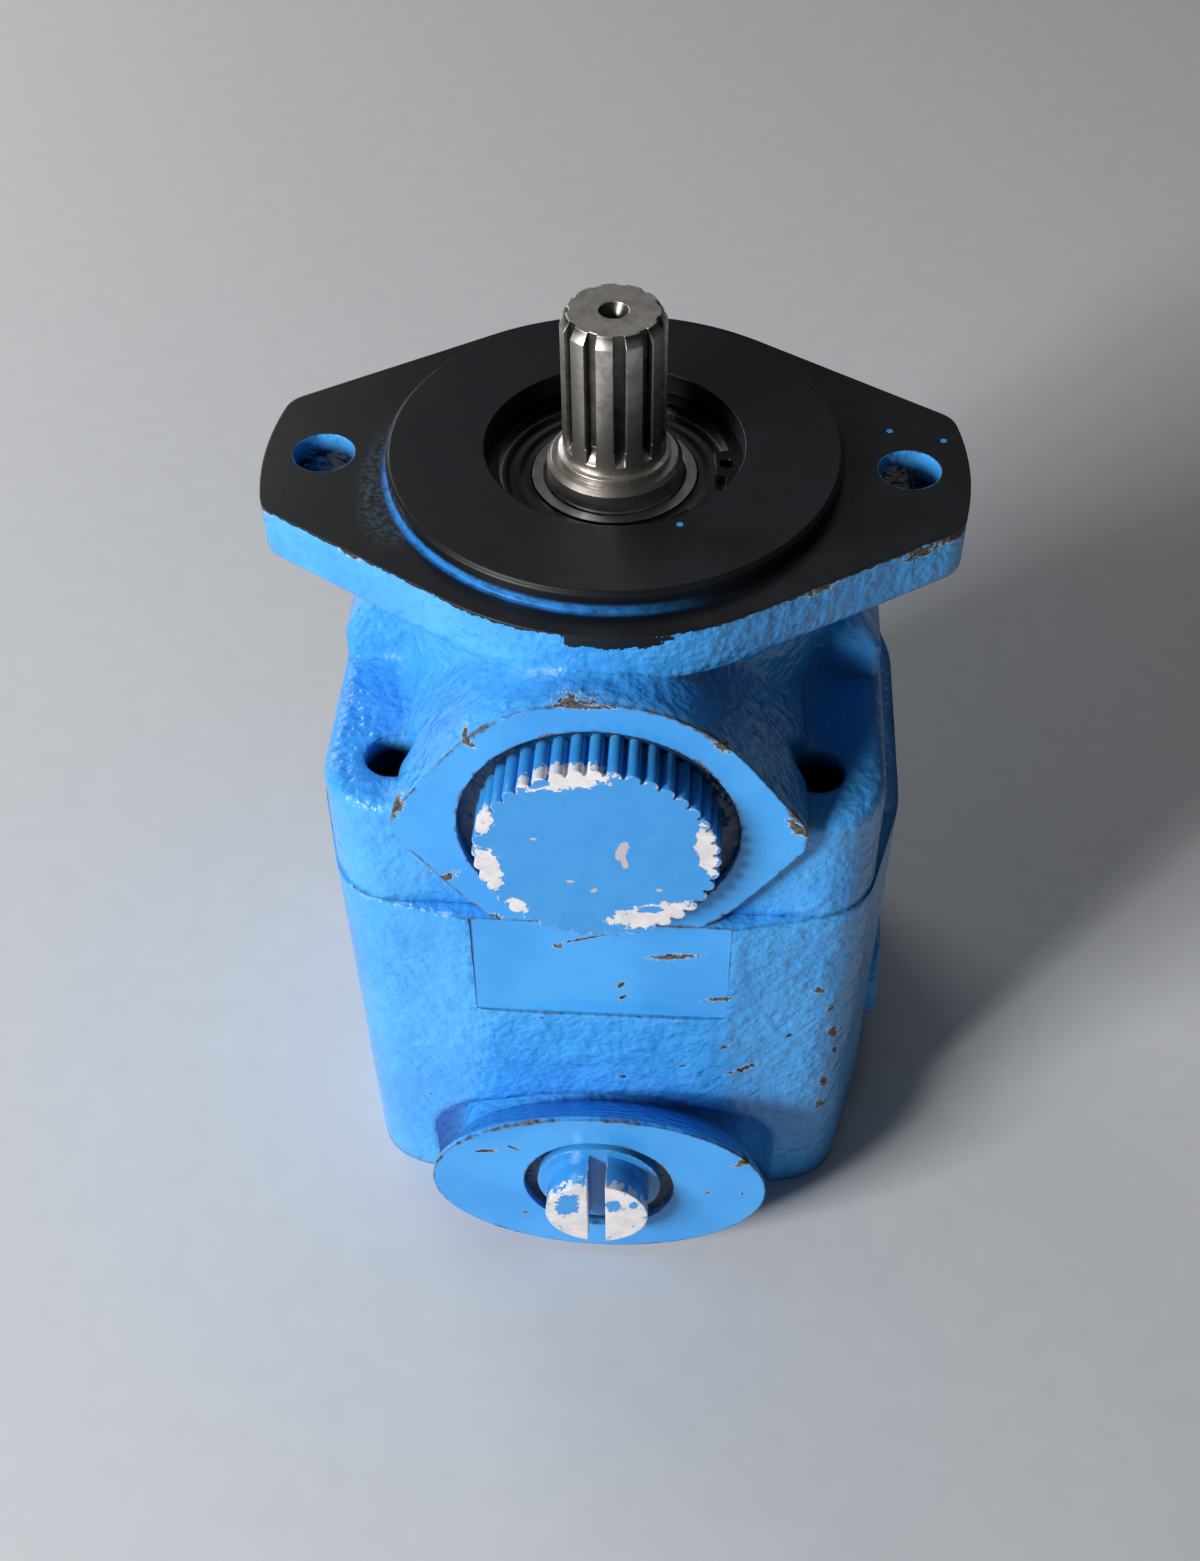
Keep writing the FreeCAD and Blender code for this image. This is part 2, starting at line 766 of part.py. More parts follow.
def bearing_inner_race():
    top = -bearing_top_depth
    bottom = -bearing_bottom_depth
    outline = [
        (bearing_bore_radius, bottom),
        (inner_race_radius, bottom),
        (inner_race_radius, top),
        (bearing_bore_radius + race_chamfer, top),
        (bearing_bore_radius, top - race_chamfer),
    ]
    return turned(outline).cut(race_track())


def bearing_outer_race():
    top = -bearing_top_depth
    bottom = -bearing_bottom_depth
    outline = [
        (outer_race_radius, bottom),
        (bearing_outer_radius - race_chamfer, bottom),
        (bearing_outer_radius, bottom + race_chamfer),
        (bearing_outer_radius, top - race_chamfer),
        (bearing_outer_radius - race_chamfer, top),
        (outer_race_radius, top),
    ]
    return turned(outline).cut(race_track())


def ball_places():
    height = -bearing_top_depth - bearing_width / 2
    return [polar(ball_circle_radius(), 360.0 / ball_count * ball, height) for ball in range(ball_count)]


def bearing_balls():
    return Part.makeCompound([Part.makeSphere(ball_radius, spot) for spot in ball_places()])


def bearing_cage():
    """A ring with a round pocket for each ball."""
    height = -bearing_top_depth - bearing_width / 2
    low = height - cage_half_width
    high = height + cage_half_width
    band = sleeve(cage_outer_radius, cage_inner_radius, low, high)
    reach = cage_outer_radius - cage_inner_radius
    pocket_radius = ball_radius + ball_clearance
    pockets = []
    for spot in ball_places():
        outward = at(spot.x, spot.y, 0).normalize()
        pockets.append(Part.makeCylinder(pocket_radius, 2 * reach, spot - outward * reach, outward))
    return band.cut(pockets)


def bearing_shield(top):
    """A rubber-lipped plate set into the outer race, just clear of the inner one."""
    return sleeve(outer_race_radius, inner_race_radius + shield_lip_clearance, top - shield_thickness, top)


def ring_sector(inner, outer, start, end, bottom, top):
    edges = [
        arc(polar(outer, start, bottom), polar(outer, (start + end) / 2, bottom), polar(outer, end, bottom)),
        line(polar(outer, end, bottom), polar(inner, end, bottom)),
        arc(polar(inner, end, bottom), polar(inner, (start + end) / 2, bottom), polar(inner, start, bottom)),
        line(polar(inner, start, bottom), polar(outer, start, bottom)),
    ]
    return closed_face(edges).extrude(at(0, 0, top - bottom))


def bearing_snap_ring():
    """An open ring for the bore groove, with an eyed lug at each end."""
    bottom = -bearing_top_depth
    top = bottom + snap_ring_thickness
    outer = snap_ring_groove_radius - snap_ring_clearance
    start = snap_ring_gap_end
    end = snap_ring_gap_start + 360
    lug_outer = snap_ring_inner_radius + join_overlap
    pieces = [ring_sector(snap_ring_inner_radius, outer, start, end, bottom, top)]
    eyes = []
    under = bottom - cut_margin
    above = top + cut_margin
    for low, high in ((start, start + snap_ring_lug_angle), (end - snap_ring_lug_angle, end)):
        pieces.append(ring_sector(snap_ring_lug_radius, lug_outer, low, high, bottom, top))
        eye = polar(snap_ring_eye_distance, (low + high) / 2)
        eyes.append(upright_cylinder(snap_ring_eye_radius, under, above, eye.x, eye.y))
    return fuse_all(pieces[0], pieces[1:]).cut(eyes)


def shaft_snap_ring():
    """An open ring in the shaft groove under the bearing."""
    top = -bearing_bottom_depth
    bottom = top - shaft_ring_thickness
    inner = bearing_bore_radius - shaft_ring_groove_depth
    band = sleeve(shaft_ring_radius, inner, bottom, top)
    gap = Part.makeBox(
        shaft_ring_radius + cut_margin, shaft_ring_gap, shaft_ring_thickness + 2 * cut_margin,
        at(0, -shaft_ring_gap / 2, bottom - cut_margin)
    )
    return band.cut(gap)


def shaft_seal():
    """A lip seal, closed towards the bearing and open towards the oil."""
    top = -seal_top_depth
    bottom = top - seal_height
    lip = journal_radius + seal_running_clearance
    outline = [
        (seal_outer_radius, bottom),
        (seal_outer_radius, top),
        (seal_lip_radius, top),
        (lip, top - seal_lip_start),
        (lip, top - seal_lip_start - seal_lip_land),
        (lip + seal_lip_flare, top - seal_lip_end),
        (lip + seal_lip_thickness, top - seal_lip_end),
        (lip + seal_lip_thickness, top - seal_wall),
        (seal_outer_radius - seal_wall, top - seal_wall),
        (seal_outer_radius - seal_wall, bottom),
    ]
    return turned(outline)


def shaft_seal_spring():
    """A garter spring round the lip of the seal."""
    lip_back = journal_radius + seal_running_clearance + seal_lip_thickness
    height = -seal_top_depth - seal_wall - garter_wire_radius - garter_gap
    ring_radius = lip_back + garter_gap + garter_wire_radius
    return Part.makeTorus(ring_radius, garter_wire_radius, at(0, 0, height))


def shaft_bush():
    inner = journal_radius + bush_clearance
    return sleeve(bush_outer_radius, inner, -joint_depth + bush_inset, -chamber_bottom_depth)


def cam_radius(angle):
    """Two lobes: the bore is widest along X and narrowest along Y."""
    mean = (cam_major_radius + cam_minor_radius) / 2
    swing = (cam_major_radius - cam_minor_radius) / 2
    return mean + swing * math.cos(math.radians(2 * angle))


def cam_ring():
    steps = 2 * cam_points_per_lobe
    angles = [360.0 * step / steps for step in range(steps)]
    points = [polar(cam_radius(angle), angle, -ring_bottom_depth) for angle in angles]
    curve = Part.BSplineCurve()
    curve.interpolate(points, PeriodicFlag=True)
    bore = Part.Face(Part.Wire([curve.toShape()])).extrude(at(0, 0, ring_width))
    blank = upright_cylinder(ring_outer_radius, -ring_bottom_depth, -joint_depth)
    return blank.cut([bore] + dowel_holes(-ring_bottom_depth - cut_margin, -joint_depth + cut_margin))


def vane_angles():
    return [vane_first_angle + vane_step * vane for vane in range(vane_count)]


def radial_bar(inner, outer, thickness, bottom, top, angle):
    bar = Part.makeBox(outer - inner, thickness, top - bottom, at(inner, -thickness / 2, bottom))
    bar.rotate(CENTRE, UP, angle)
    return bar


def rotor():
    """A slotted drum on the shaft spline, a hair shorter than its ring."""
    bottom = -ring_bottom_depth + rotor_side_clearance
    top = -joint_depth - rotor_side_clearance
    drum = upright_cylinder(rotor_radius, bottom, top)
    low = bottom - cut_margin
    high = top + cut_margin
    bore = upright_cylinder(spline_outer_radius + inner_spline_clearance, low, high)
    key_root = spline_root_radius + inner_spline_clearance
    for angle in spline_angles():
        key = spline_space(spline_outer_radius + cut_margin, key_root, low, high, angle)
        bore = bore.cut(inner_key(key, angle))
    slot_width = vane_thickness + 2 * vane_slot_clearance
    slot_end = rotor_radius + cut_margin
    slots = [
        radial_bar(slot_floor_radius, slot_end, slot_width, low, high, angle)
        for angle in vane_angles()
    ]
    return drum.cut([bore] + slots)


def inner_key(key, angle):
    """A shaft space narrowed on both flanks, which leaves the tooth that fits it."""
    shift = polar(inner_spline_clearance, angle + 90)
    left = key.copy()
    right = key.copy()
    left.translate(shift)
    right.translate(-shift)
    return left.common(right)


def vane(angle):
    """A blade with a rounded tip, at rest inside the rotor."""
    bottom = -ring_bottom_depth + vane_side_clearance
    top = -joint_depth - vane_side_clearance
    blade = radial_bar(vane_root_radius, vane_tip_radius, vane_thickness, bottom, top, 0)
    tip = edges_where(blade, lambda middle, edge: is_upright(edge) and middle.x > vane_tip_radius - 0.01)
    blade = blade.makeFillet(vane_tip_round, tip)
    blade.rotate(CENTRE, UP, angle)
    return blade


def pressure_plate():
    top = -ring_bottom_depth
    bottom = -plate_bottom_depth
    plate = upright_cylinder(plate_radius, bottom, top)
    groove_top = bottom + plate_groove_depth_back + plate_groove_width
    groove_bottom = bottom + plate_groove_depth_back
    groove = sleeve(plate_radius + cut_margin, plate_groove_radius, groove_bottom, groove_top)
    seat_radius = spring_radius + spring_wire_radius + spring_seat_clearance
    feed_radius = slot_floor_radius + under_vane_groove_width
    above = top + cut_margin
    below = bottom - cut_margin
    cuts = [
        groove,
        upright_cylinder(spline_outer_radius + plate_pocket_clearance, top - plate_pocket_depth, above),
        upright_cylinder(seat_radius, below, bottom + spring_seat_depth),
        sleeve(feed_radius, slot_floor_radius, top - under_vane_groove_depth, above),
    ]
    cuts += kidney_pair(discharge_arc_place, below, above)
    cuts += dowel_holes(top - dowel_depth, above)
    return plate.cut(cuts)


def plate_seal_place():
    groove_bottom = -plate_bottom_depth + plate_groove_depth_back
    return groove_bottom, plate_groove_width - backup_ring_width


def pressure_plate_seal():
    bottom, width = plate_seal_place()
    wire = (cover_bore_radius - plate_groove_radius) / 2
    return Part.makeTorus(plate_groove_radius + wire, wire, at(0, 0, bottom + width / 2))


def pressure_plate_backup_ring():
    bottom, width = plate_seal_place()
    return sleeve(plate_radius, plate_groove_radius, bottom + width, bottom + plate_groove_width)


def pressure_plate_spring():
    """A coil spring between the cover floor and the back of the pressure plate."""
    low = -chamber_floor_depth + spring_wire_radius
    high = -plate_bottom_depth + spring_seat_depth - spring_wire_radius
    height = high - low
    path = Part.makeHelix(height / spring_turns, height, spring_radius)
    wire = Part.Wire(Part.makeCircle(spring_wire_radius, at(spring_radius, 0, 0), at(0, 1, 0)).Edges)
    coil = Part.Wire(path.Edges).makePipeShell([wire], True, True)
    coil.translate(at(0, 0, low))
    return coil


def dowel_pins():
    bottom = -ring_bottom_depth - dowel_depth + dowel_end_gap
    top = -joint_depth + dowel_depth - dowel_end_gap
    pins = [upright_cylinder(dowel_radius, bottom, top, spot.x, spot.y) for spot in dowel_places()]
    return Part.makeCompound(pins)


def inlet_plug():
    """A turned plastic plug with a ring of half-round grip ribs."""
    front = inlet_face_distance + inlet_plug_projection
    rim = inlet_plug_radius - inlet_rib_radius
    cap = port_cylinder(rim, inlet_plug_seat, front, -inlet_depth)
    ribs = []
    for rib in range(inlet_rib_count):
        turn = 2 * math.pi * rib / inlet_rib_count
        x = rim * math.sin(turn)
        z = -inlet_depth + rim * math.cos(turn)
        foot = at(x, -inlet_plug_seat, z)
        ribs.append(Part.makeCylinder(inlet_rib_radius, front - inlet_plug_seat, foot, FORWARD))
    cap = fuse_all(cap, ribs)
    shank_radius = inlet_thread_radius - port_plug_clearance
    back = inlet_plug_seat - inlet_shank_length
    shank = port_cylinder(shank_radius, back, inlet_plug_seat + join_overlap, -inlet_depth)
    hollow_radius = shank_radius - inlet_shank_wall
    hollow = port_cylinder(hollow_radius, back - cut_margin, inlet_plug_seat, -inlet_depth)
    return cap.fuse(shank).cut(hollow)


def outlet_plug():
    """A plastic plug with a thin brim and a slotted stud."""
    front = outlet_face_distance + outlet_plug_projection
    brim_front = outlet_plug_seat + outlet_brim_thickness
    brim = port_cylinder(outlet_brim_radius, outlet_plug_seat, brim_front, -outlet_depth)
    stud = port_cylinder(outlet_stud_radius, brim_front - join_overlap, front, -outlet_depth)
    shank_radius = outlet_thread_radius - port_plug_clearance
    back = outlet_plug_seat - outlet_shank_length
    shank = port_cylinder(shank_radius, back, outlet_plug_seat + join_overlap, -outlet_depth)
    slot_reach = outlet_stud_radius + cut_margin
    slot = Part.makeBox(
        outlet_slot_width, front - brim_front + cut_margin, 2 * slot_reach,
        at(-outlet_slot_width / 2, -front - cut_margin, -outlet_depth - slot_reach)
    )
    return fuse_all(brim, [stud, shank]).cut(slot)


def build_nodes():
    nodes = {
        "body_casting": body_casting(),
        "cover_casting": cover_casting(),
        "cover_seal": cover_seal(),
        "cover_screws": cover_screws(),
        "drive_shaft": drive_shaft(),
        "shaft_snap_ring": shaft_snap_ring(),
        "bearing_inner_race": bearing_inner_race(),
        "bearing_outer_race": bearing_outer_race(),
        "bearing_balls": bearing_balls(),
        "bearing_cage": bearing_cage(),
        "bearing_outer_shield": bearing_shield(-bearing_top_depth - shield_inset),
        "bearing_inner_shield": bearing_shield(-bearing_bottom_depth + shield_inset + shield_thickness),
        "bearing_snap_ring": bearing_snap_ring(),
        "shaft_seal": shaft_seal(),
        "shaft_seal_spring": shaft_seal_spring(),
        "shaft_bush": shaft_bush(),
        "cam_ring": cam_ring(),
        "rotor": rotor(),
        "pressure_plate": pressure_plate(),
        "pressure_plate_seal": pressure_plate_seal(),
        "pressure_plate_backup_ring": pressure_plate_backup_ring(),
        "pressure_plate_spring": pressure_plate_spring(),
        "dowel_pins": dowel_pins(),
        "inlet_plug": inlet_plug(),
        "outlet_plug": outlet_plug(),
    }
    for number, angle in enumerate(vane_angles(), start=1):
        nodes[f"vane_{number:02d}"] = vane(angle)
    return nodes


os.makedirs("parts", exist_ok=True)
for name, shape in build_nodes().items():
    shape.exportStep(f"parts/{name}.step")
    print(name, len(shape.Solids), shape.isValid(), round(shape.Volume, 1))
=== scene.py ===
import math

import bpy
from mathutils import Matrix, Vector


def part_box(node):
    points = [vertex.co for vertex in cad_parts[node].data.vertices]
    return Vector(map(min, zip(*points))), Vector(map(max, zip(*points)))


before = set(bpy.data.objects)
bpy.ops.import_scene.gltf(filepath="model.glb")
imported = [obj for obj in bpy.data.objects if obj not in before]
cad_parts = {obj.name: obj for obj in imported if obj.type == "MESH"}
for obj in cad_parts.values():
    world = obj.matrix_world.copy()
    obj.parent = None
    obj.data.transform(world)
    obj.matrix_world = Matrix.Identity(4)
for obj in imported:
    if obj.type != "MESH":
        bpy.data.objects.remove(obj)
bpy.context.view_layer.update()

# One millimetre in the scene's metres; every place and pattern below is in millimetres
MM = 0.001


def node_edge(node, side, axis):
    """The lowest (side 0) or highest (side 1) place of a node along an axis, in millimetres."""
    return round(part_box(node)[side][axis] / MM, 2)


def node_middle(node, axis):
    """The middle of a node along an axis, in millimetres."""
    return (node_edge(node, 0, axis) + node_edge(node, 1, axis)) / 2


# Places on the pump that the finishes follow: x to the right, y away from the ports, z up the shaft
shaft_end_height = node_edge("drive_shaft", 1, 2)
spline_stain_edge = 9.2
spline_stain_full = 8.2
oil_film_edge = 3.0
oil_film_full = 2.2
pilot_height = node_edge("body_casting", 1, 2)
pilot_radius = 41.27
bearing_bore_radius = 26.0
bearing_bore_floor = -20.0
bolt_offset = 53.2
bolt_hole_edge = 5.75
screw_offset = 38.6
screw_hole_edge = 5.45
flange_bottom = -11.45
shoulder_z = -39.0
joint_z = node_edge("body_casting", 0, 2)
base_z = node_edge("cover_casting", 0, 2)
front_panel = -55.6
pad_half_width = 24.5
pad_bottom = -92.5

# Each port: its face, the height of its centre, the counterbore's radius and depth, and the radius of
# the hole behind it, each radius a little wide so that it takes in the wall
inlet_face = node_edge("body_casting", 0, 1)
inlet_plug_front = node_edge("inlet_plug", 0, 1)
inlet_port = (inlet_face, node_middle("inlet_plug", 2), 25.4, 3.0, 16.1)
outlet_face = node_edge("cover_casting", 0, 1)
outlet_plug_front = node_edge("outlet_plug", 0, 1)
outlet_centre_z = node_middle("outlet_plug", 2)
outlet_port = (outlet_face, outlet_centre_z, 15.6, 2.6, 8.9)
port_end = -28.0

# Radii that the finishes give to edges: corners from the mould, milled rims, turned steel, plastic
cast_radius = 3.2
milled_radius = 0.4
steel_radius = 0.25
plastic_radius = 0.45

# Kinds of shader node that the finishes use most
MATH = "ShaderNodeMath"
VECTOR = "ShaderNodeVectorMath"
PLACE = "ShaderNodeMapping"
NOISE = "ShaderNodeTexNoise"
RANGE = "ShaderNodeMapRange"
MIX = "ShaderNodeMix"


def srgb(code):
    """A colour from its sRGB hex code, as the linear values a shader takes."""
    channels = [int(code[i:i + 2], 16) / 255 for i in (1, 3, 5)]
    return tuple(c / 12.92 if c <= 0.04045 else ((c + 0.055) / 1.055) ** 2.4 for c in channels) + (1.0,)


def add(tree, kind, inputs=(), out=0, **settings):
    """A shader node with its settings and its inputs, each a value or a link; gives back one output."""
    node = tree.nodes.new(kind)
    for name, value in settings.items():
        setattr(node, name, value)
    pairs = inputs.items() if isinstance(inputs, dict) else enumerate(inputs)
    for key, value in pairs:
        if isinstance(value, bpy.types.NodeSocket):
            tree.links.new(value, node.inputs[key])
        else:
            node.inputs[key].default_value = value
    return node.outputs[out] if len(node.outputs) else None


def new_material(name):
    """An empty material, its tree, and the place on the piece in millimetres."""
    material = bpy.data.materials.new(name)
    material.use_nodes = True
    tree = material.node_tree
    tree.nodes.clear()
    metres = add(tree, "ShaderNodeTexCoord", out="Object")
    mm = add(tree, PLACE, {"Vector": metres, "Scale": (1 / MM, 1 / MM, 1 / MM)})
    return material, tree, mm


def distance_from(tree, mm, centre, share=(1, 1, 1)):
    """How far a point is from a centre; a share of 0 leaves an axis out."""
    moved = add(tree, VECTOR, [mm, centre], operation="SUBTRACT")
    flat = add(tree, VECTOR, [moved, share], operation="MULTIPLY")
    return add(tree, VECTOR, [flat], out="Value", operation="LENGTH")


def outer_edges(tree, width):
    """Up to about 0.5 on the brink of an outward edge, and 0 on open faces and in hollows."""
    inside = add(tree, "ShaderNodeAmbientOcclusion", {"Distance": width * MM}, out="AO",
                 samples=6, inside=True, only_local=True)
    return add(tree, MATH, [1.0, inside], operation="SUBTRACT")


def ragged_ovals(tree, mm, wobble, spots):
    """Below 1 inside ovals with torn edges: each has x, y, z, half length, half width and lean."""
    half_depth = 3.0
    nearest = 9.0
    for x, y, z, length, width, lean in spots:
        turn = (0, math.radians(-lean), 0)
        oval = add(tree, PLACE, [mm, (x, y, z), turn, (length, half_depth, width)], vector_type="TEXTURE")
        from_middle = add(tree, VECTOR, [oval], out="Value", operation="LENGTH")
        nearest = add(tree, MATH, [nearest, from_middle], operation="MINIMUM")
    return add(tree, MATH, [nearest, wobble], operation="ADD")


def flat_area(tree, split, face, half_width, bottom):
    """1 on a milled face at one y, within a half width and above a bottom."""
    x, y, z = split
    off = add(tree, MATH, [y, face], operation="SUBTRACT")
    flatness = 0.06
    level = add(tree, MATH, [off, 0.0, flatness], operation="COMPARE")
    inside = add(tree, MATH, [x, 0.0, half_width], operation="COMPARE")
    above = add(tree, MATH, [z, bottom], operation="GREATER_THAN")
    both = add(tree, MATH, [level, inside], operation="MULTIPLY")
    return add(tree, MATH, [both, above], operation="MULTIPLY")


def cast_relief(tree, mm, split, milled_faces):
    """The height of the enamel in millimetres, its lumps, grit and swell, and the milled areas."""
    # Lumps 3 mm across with grit of 1.1 mm, on a slow 15 mm swell. The mould's own sand grains are
    # about 0.3 mm; under the enamel only clumps of them show, so that is what is drawn
    lumps = add(tree, NOISE, {"Vector": mm, "Scale": 1 / 3.0, "Detail": 1.3, "Roughness": 0.5})
    grit = add(tree, NOISE, {"Vector": mm, "Scale": 1 / 1.1, "Detail": 1.5, "Roughness": 0.55})
    swell = add(tree, NOISE, {"Vector": mm, "Scale": 1 / 15.0, "Detail": 1.0, "Roughness": 0.5})
    lump_height, grit_height, swell_height = 1.05, 0.34, 1.6
    height = add(tree, MATH, [lumps, lump_height], operation="MULTIPLY")
    height = add(tree, MATH, [grit, grit_height, height], operation="MULTIPLY_ADD")
    height = add(tree, MATH, [swell, swell_height, height], operation="MULTIPLY_ADD")
    milled = 0.0
    for face, half_width, bottom in milled_faces:
        area = flat_area(tree, split, face, half_width, bottom)
        milled = add(tree, MATH, [milled, area], operation="MAXIMUM")
    # Orange peel of the sprayed coat, about 1.5 mm across
    peel = add(tree, NOISE, {"Vector": mm, "Scale": 1 / 1.5, "Detail": 1.0, "Roughness": 0.5})
    peel_height = 0.05
    smooth = add(tree, MATH, [peel, peel_height], operation="MULTIPLY")
    height = add(tree, MIX, {0: milled, 2: height, 3: smooth})
    return height, lumps, grit, swell, milled


def enamel_blue(tree, mm, lumps, milled):
    """The blue of the open coat, and the same with painted shade darkening the pits between the lumps."""
    # The enamel is a little deeper where it lies thick, in clouds 24 mm across
    cloud = add(tree, NOISE, {"Vector": mm, "Scale": 1 / 24.0, "Detail": 3.0, "Roughness": 0.55})
    thick = add(tree, RANGE, {"Value": cloud, "From Min": 0.35, "From Max": 0.65},
                interpolation_type="SMOOTHSTEP")
    blue = add(tree, MIX, {0: thick, 6: srgb("#3d98e2"), 7: srgb("#48a5ec")}, out=2, data_type="RGBA")
    # Painted shade: the pits between the lumps darken toward #2a7dc2
    open_share = add(tree, RANGE, {"Value": lumps, "From Min": 0.34, "From Max": 0.5,
                                   "To Min": 0.9, "To Max": 1.0})
    open_share = add(tree, MATH, [open_share, milled], operation="MAXIMUM")
    pit_shaded = add(tree, MIX, {0: open_share, 6: srgb("#2a7dc2"), 7: blue}, out=2, data_type="RGBA")
    return blue, pit_shaded


def flaked_enamel(tree, mm, torn, swell, near_rim, chips):
    """1 where the enamel is off, and a distance that is below 1 inside the given knocks."""
    # Along outward edges, most on the rims of the milled faces
    edge = outer_edges(tree, 1.1)
    likely = add(tree, MATH, [near_rim, 0.1, torn], operation="MULTIPLY_ADD")
    likely = add(tree, MATH, [swell, 0.7, likely], operation="MULTIPLY_ADD")
    likely = add(tree, MATH, [edge, 0.62, likely], operation="MULTIPLY_ADD")
    least_edge, flake_limit, speck_limit = 0.12, 1.24, 0.765
    on_edge = add(tree, MATH, [edge, least_edge], operation="GREATER_THAN")
    flaked = add(tree, MATH, [likely, flake_limit], operation="GREATER_THAN")
    flaked = add(tree, MATH, [flaked, on_edge], operation="MULTIPLY")
    # At the knocks, with edges torn at 0.9 mm
    wobble = add(tree, NOISE, {"Vector": mm, "Scale": 1 / 0.9, "Detail": 3.0, "Roughness": 0.7})
    wobble = add(tree, RANGE, {"Value": wobble, "From Min": 0.25, "From Max": 0.75,
                               "To Min": -0.9, "To Max": 0.9})
    knock = ragged_ovals(tree, mm, wobble, chips)
    knocked = add(tree, MATH, [knock, 1.0], operation="LESS_THAN")
    # And in rare specks, at the peaks of a pattern of 1.9 mm
    speck = add(tree, NOISE, {"Vector": mm, "Scale": 1 / 1.9, "Detail": 2.0, "Roughness": 0.6})
    speck = add(tree, MATH, [speck, speck_limit], operation="GREATER_THAN")
    bare = add(tree, MATH, [flaked, knocked], operation="MAXIMUM")
    bare = add(tree, MATH, [bare, speck], operation="MAXIMUM")
    return bare, knock


def painted_hole_shade(tree, mm, split, colour, port, shaded_holes):
    """Painted shade: darkens the walls of the counterbore and the holes, where shade falls inside them."""
    x, y, z = split
    face, centre_z, bore, seat, thread = port
    from_port = distance_from(tree, mm, (0, 0, centre_z), (1, 0, 1))
    in_port = add(tree, MATH, [from_port, bore], operation="LESS_THAN")
    not_past = add(tree, MATH, [y, face + seat + 0.1], operation="LESS_THAN")
    in_port = add(tree, MATH, [in_port, not_past], operation="MULTIPLY")
    in_thread = add(tree, MATH, [from_port, thread], operation="LESS_THAN")
    in_front = add(tree, MATH, [y, port_end], operation="LESS_THAN")
    in_thread = add(tree, MATH, [in_thread, in_front], operation="MULTIPLY")
    in_port = add(tree, MATH, [in_port, in_thread], operation="MAXIMUM")
    # Painted shade inside the port, deepening from its face inward to a near-black navy
    inward = add(tree, RANGE, {"Value": y, "From Min": face + 0.2, "From Max": face + 1.6,
                               "To Min": 0.0, "To Max": 0.9})
    shade_share = add(tree, MATH, [in_port, inward], operation="MULTIPLY")
    colour = add(tree, MIX, {0: shade_share, 6: colour, 7: srgb("#0d2036")}, out=2, data_type="RGBA")
    # Painted shade inside each deep hole, deepening below its mouth
    for hole_x, hole_y, hole_radius, hole_top, hole_end in shaded_holes:
        from_hole = distance_from(tree, mm, (hole_x, hole_y, 0), (1, 1, 0))
        in_hole = add(tree, MATH, [from_hole, hole_radius], operation="LESS_THAN")
        below = add(tree, RANGE, {"Value": z, "From Min": hole_top - 0.3, "From Max": hole_top - 4.0,
                                  "To Min": 0.0, "To Max": 1.0})
        above = add(tree, MATH, [z, hole_end], operation="GREATER_THAN")
        shade_share = add(tree, MATH, [in_hole, below], operation="MULTIPLY")
        shade_share = add(tree, MATH, [shade_share, above], operation="MULTIPLY")
        colour = add(tree, MIX, {0: shade_share, 6: colour, 7: srgb("#0d2440")}, out=2, data_type="RGBA")
    return colour


def masked_area(tree, mm, z, from_axis, torn):
    """1 on the flange face, the pilot and the bearing bore, which were masked from the spray."""
    torn_line = add(tree, RANGE, {"Value": torn, "From Min": 0.3, "From Max": 0.7,
                                  "To Min": -1.1, "To Max": -0.05})
    top = add(tree, MATH, [z, torn_line], operation="GREATER_THAN")
    for side in (-1, 1):
        from_bolt = distance_from(tree, mm, (side * bolt_offset, 0, 0), (1, 1, 0))
        outside = add(tree, MATH, [from_bolt, bolt_hole_edge], operation="GREATER_THAN")
        top = add(tree, MATH, [top, outside], operation="MULTIPLY")
    # The blacking reaches over the edge at the front of the flange, where the mask had slipped
    slip = add(tree, RANGE, {"Value": torn, "From Min": 0.3, "From Max": 0.7,
                             "To Min": -0.4, "To Max": 0.4})
    slipped = ragged_ovals(tree, mm, slip, [(3.0, -47.2, -1.0, 9.5, 1.8, 0)])
    slipped = add(tree, MATH, [slipped, 1.0], operation="LESS_THAN")
    top = add(tree, MATH, [top, slipped], operation="MAXIMUM")
    in_bore = add(tree, MATH, [from_axis, bearing_bore_radius], operation="LESS_THAN")
    upper = add(tree, MATH, [z, bearing_bore_floor], operation="GREATER_THAN")
    in_bore = add(tree, MATH, [in_bore, upper], operation="MULTIPLY")
    return add(tree, MATH, [top, in_bore], operation="MAXIMUM")


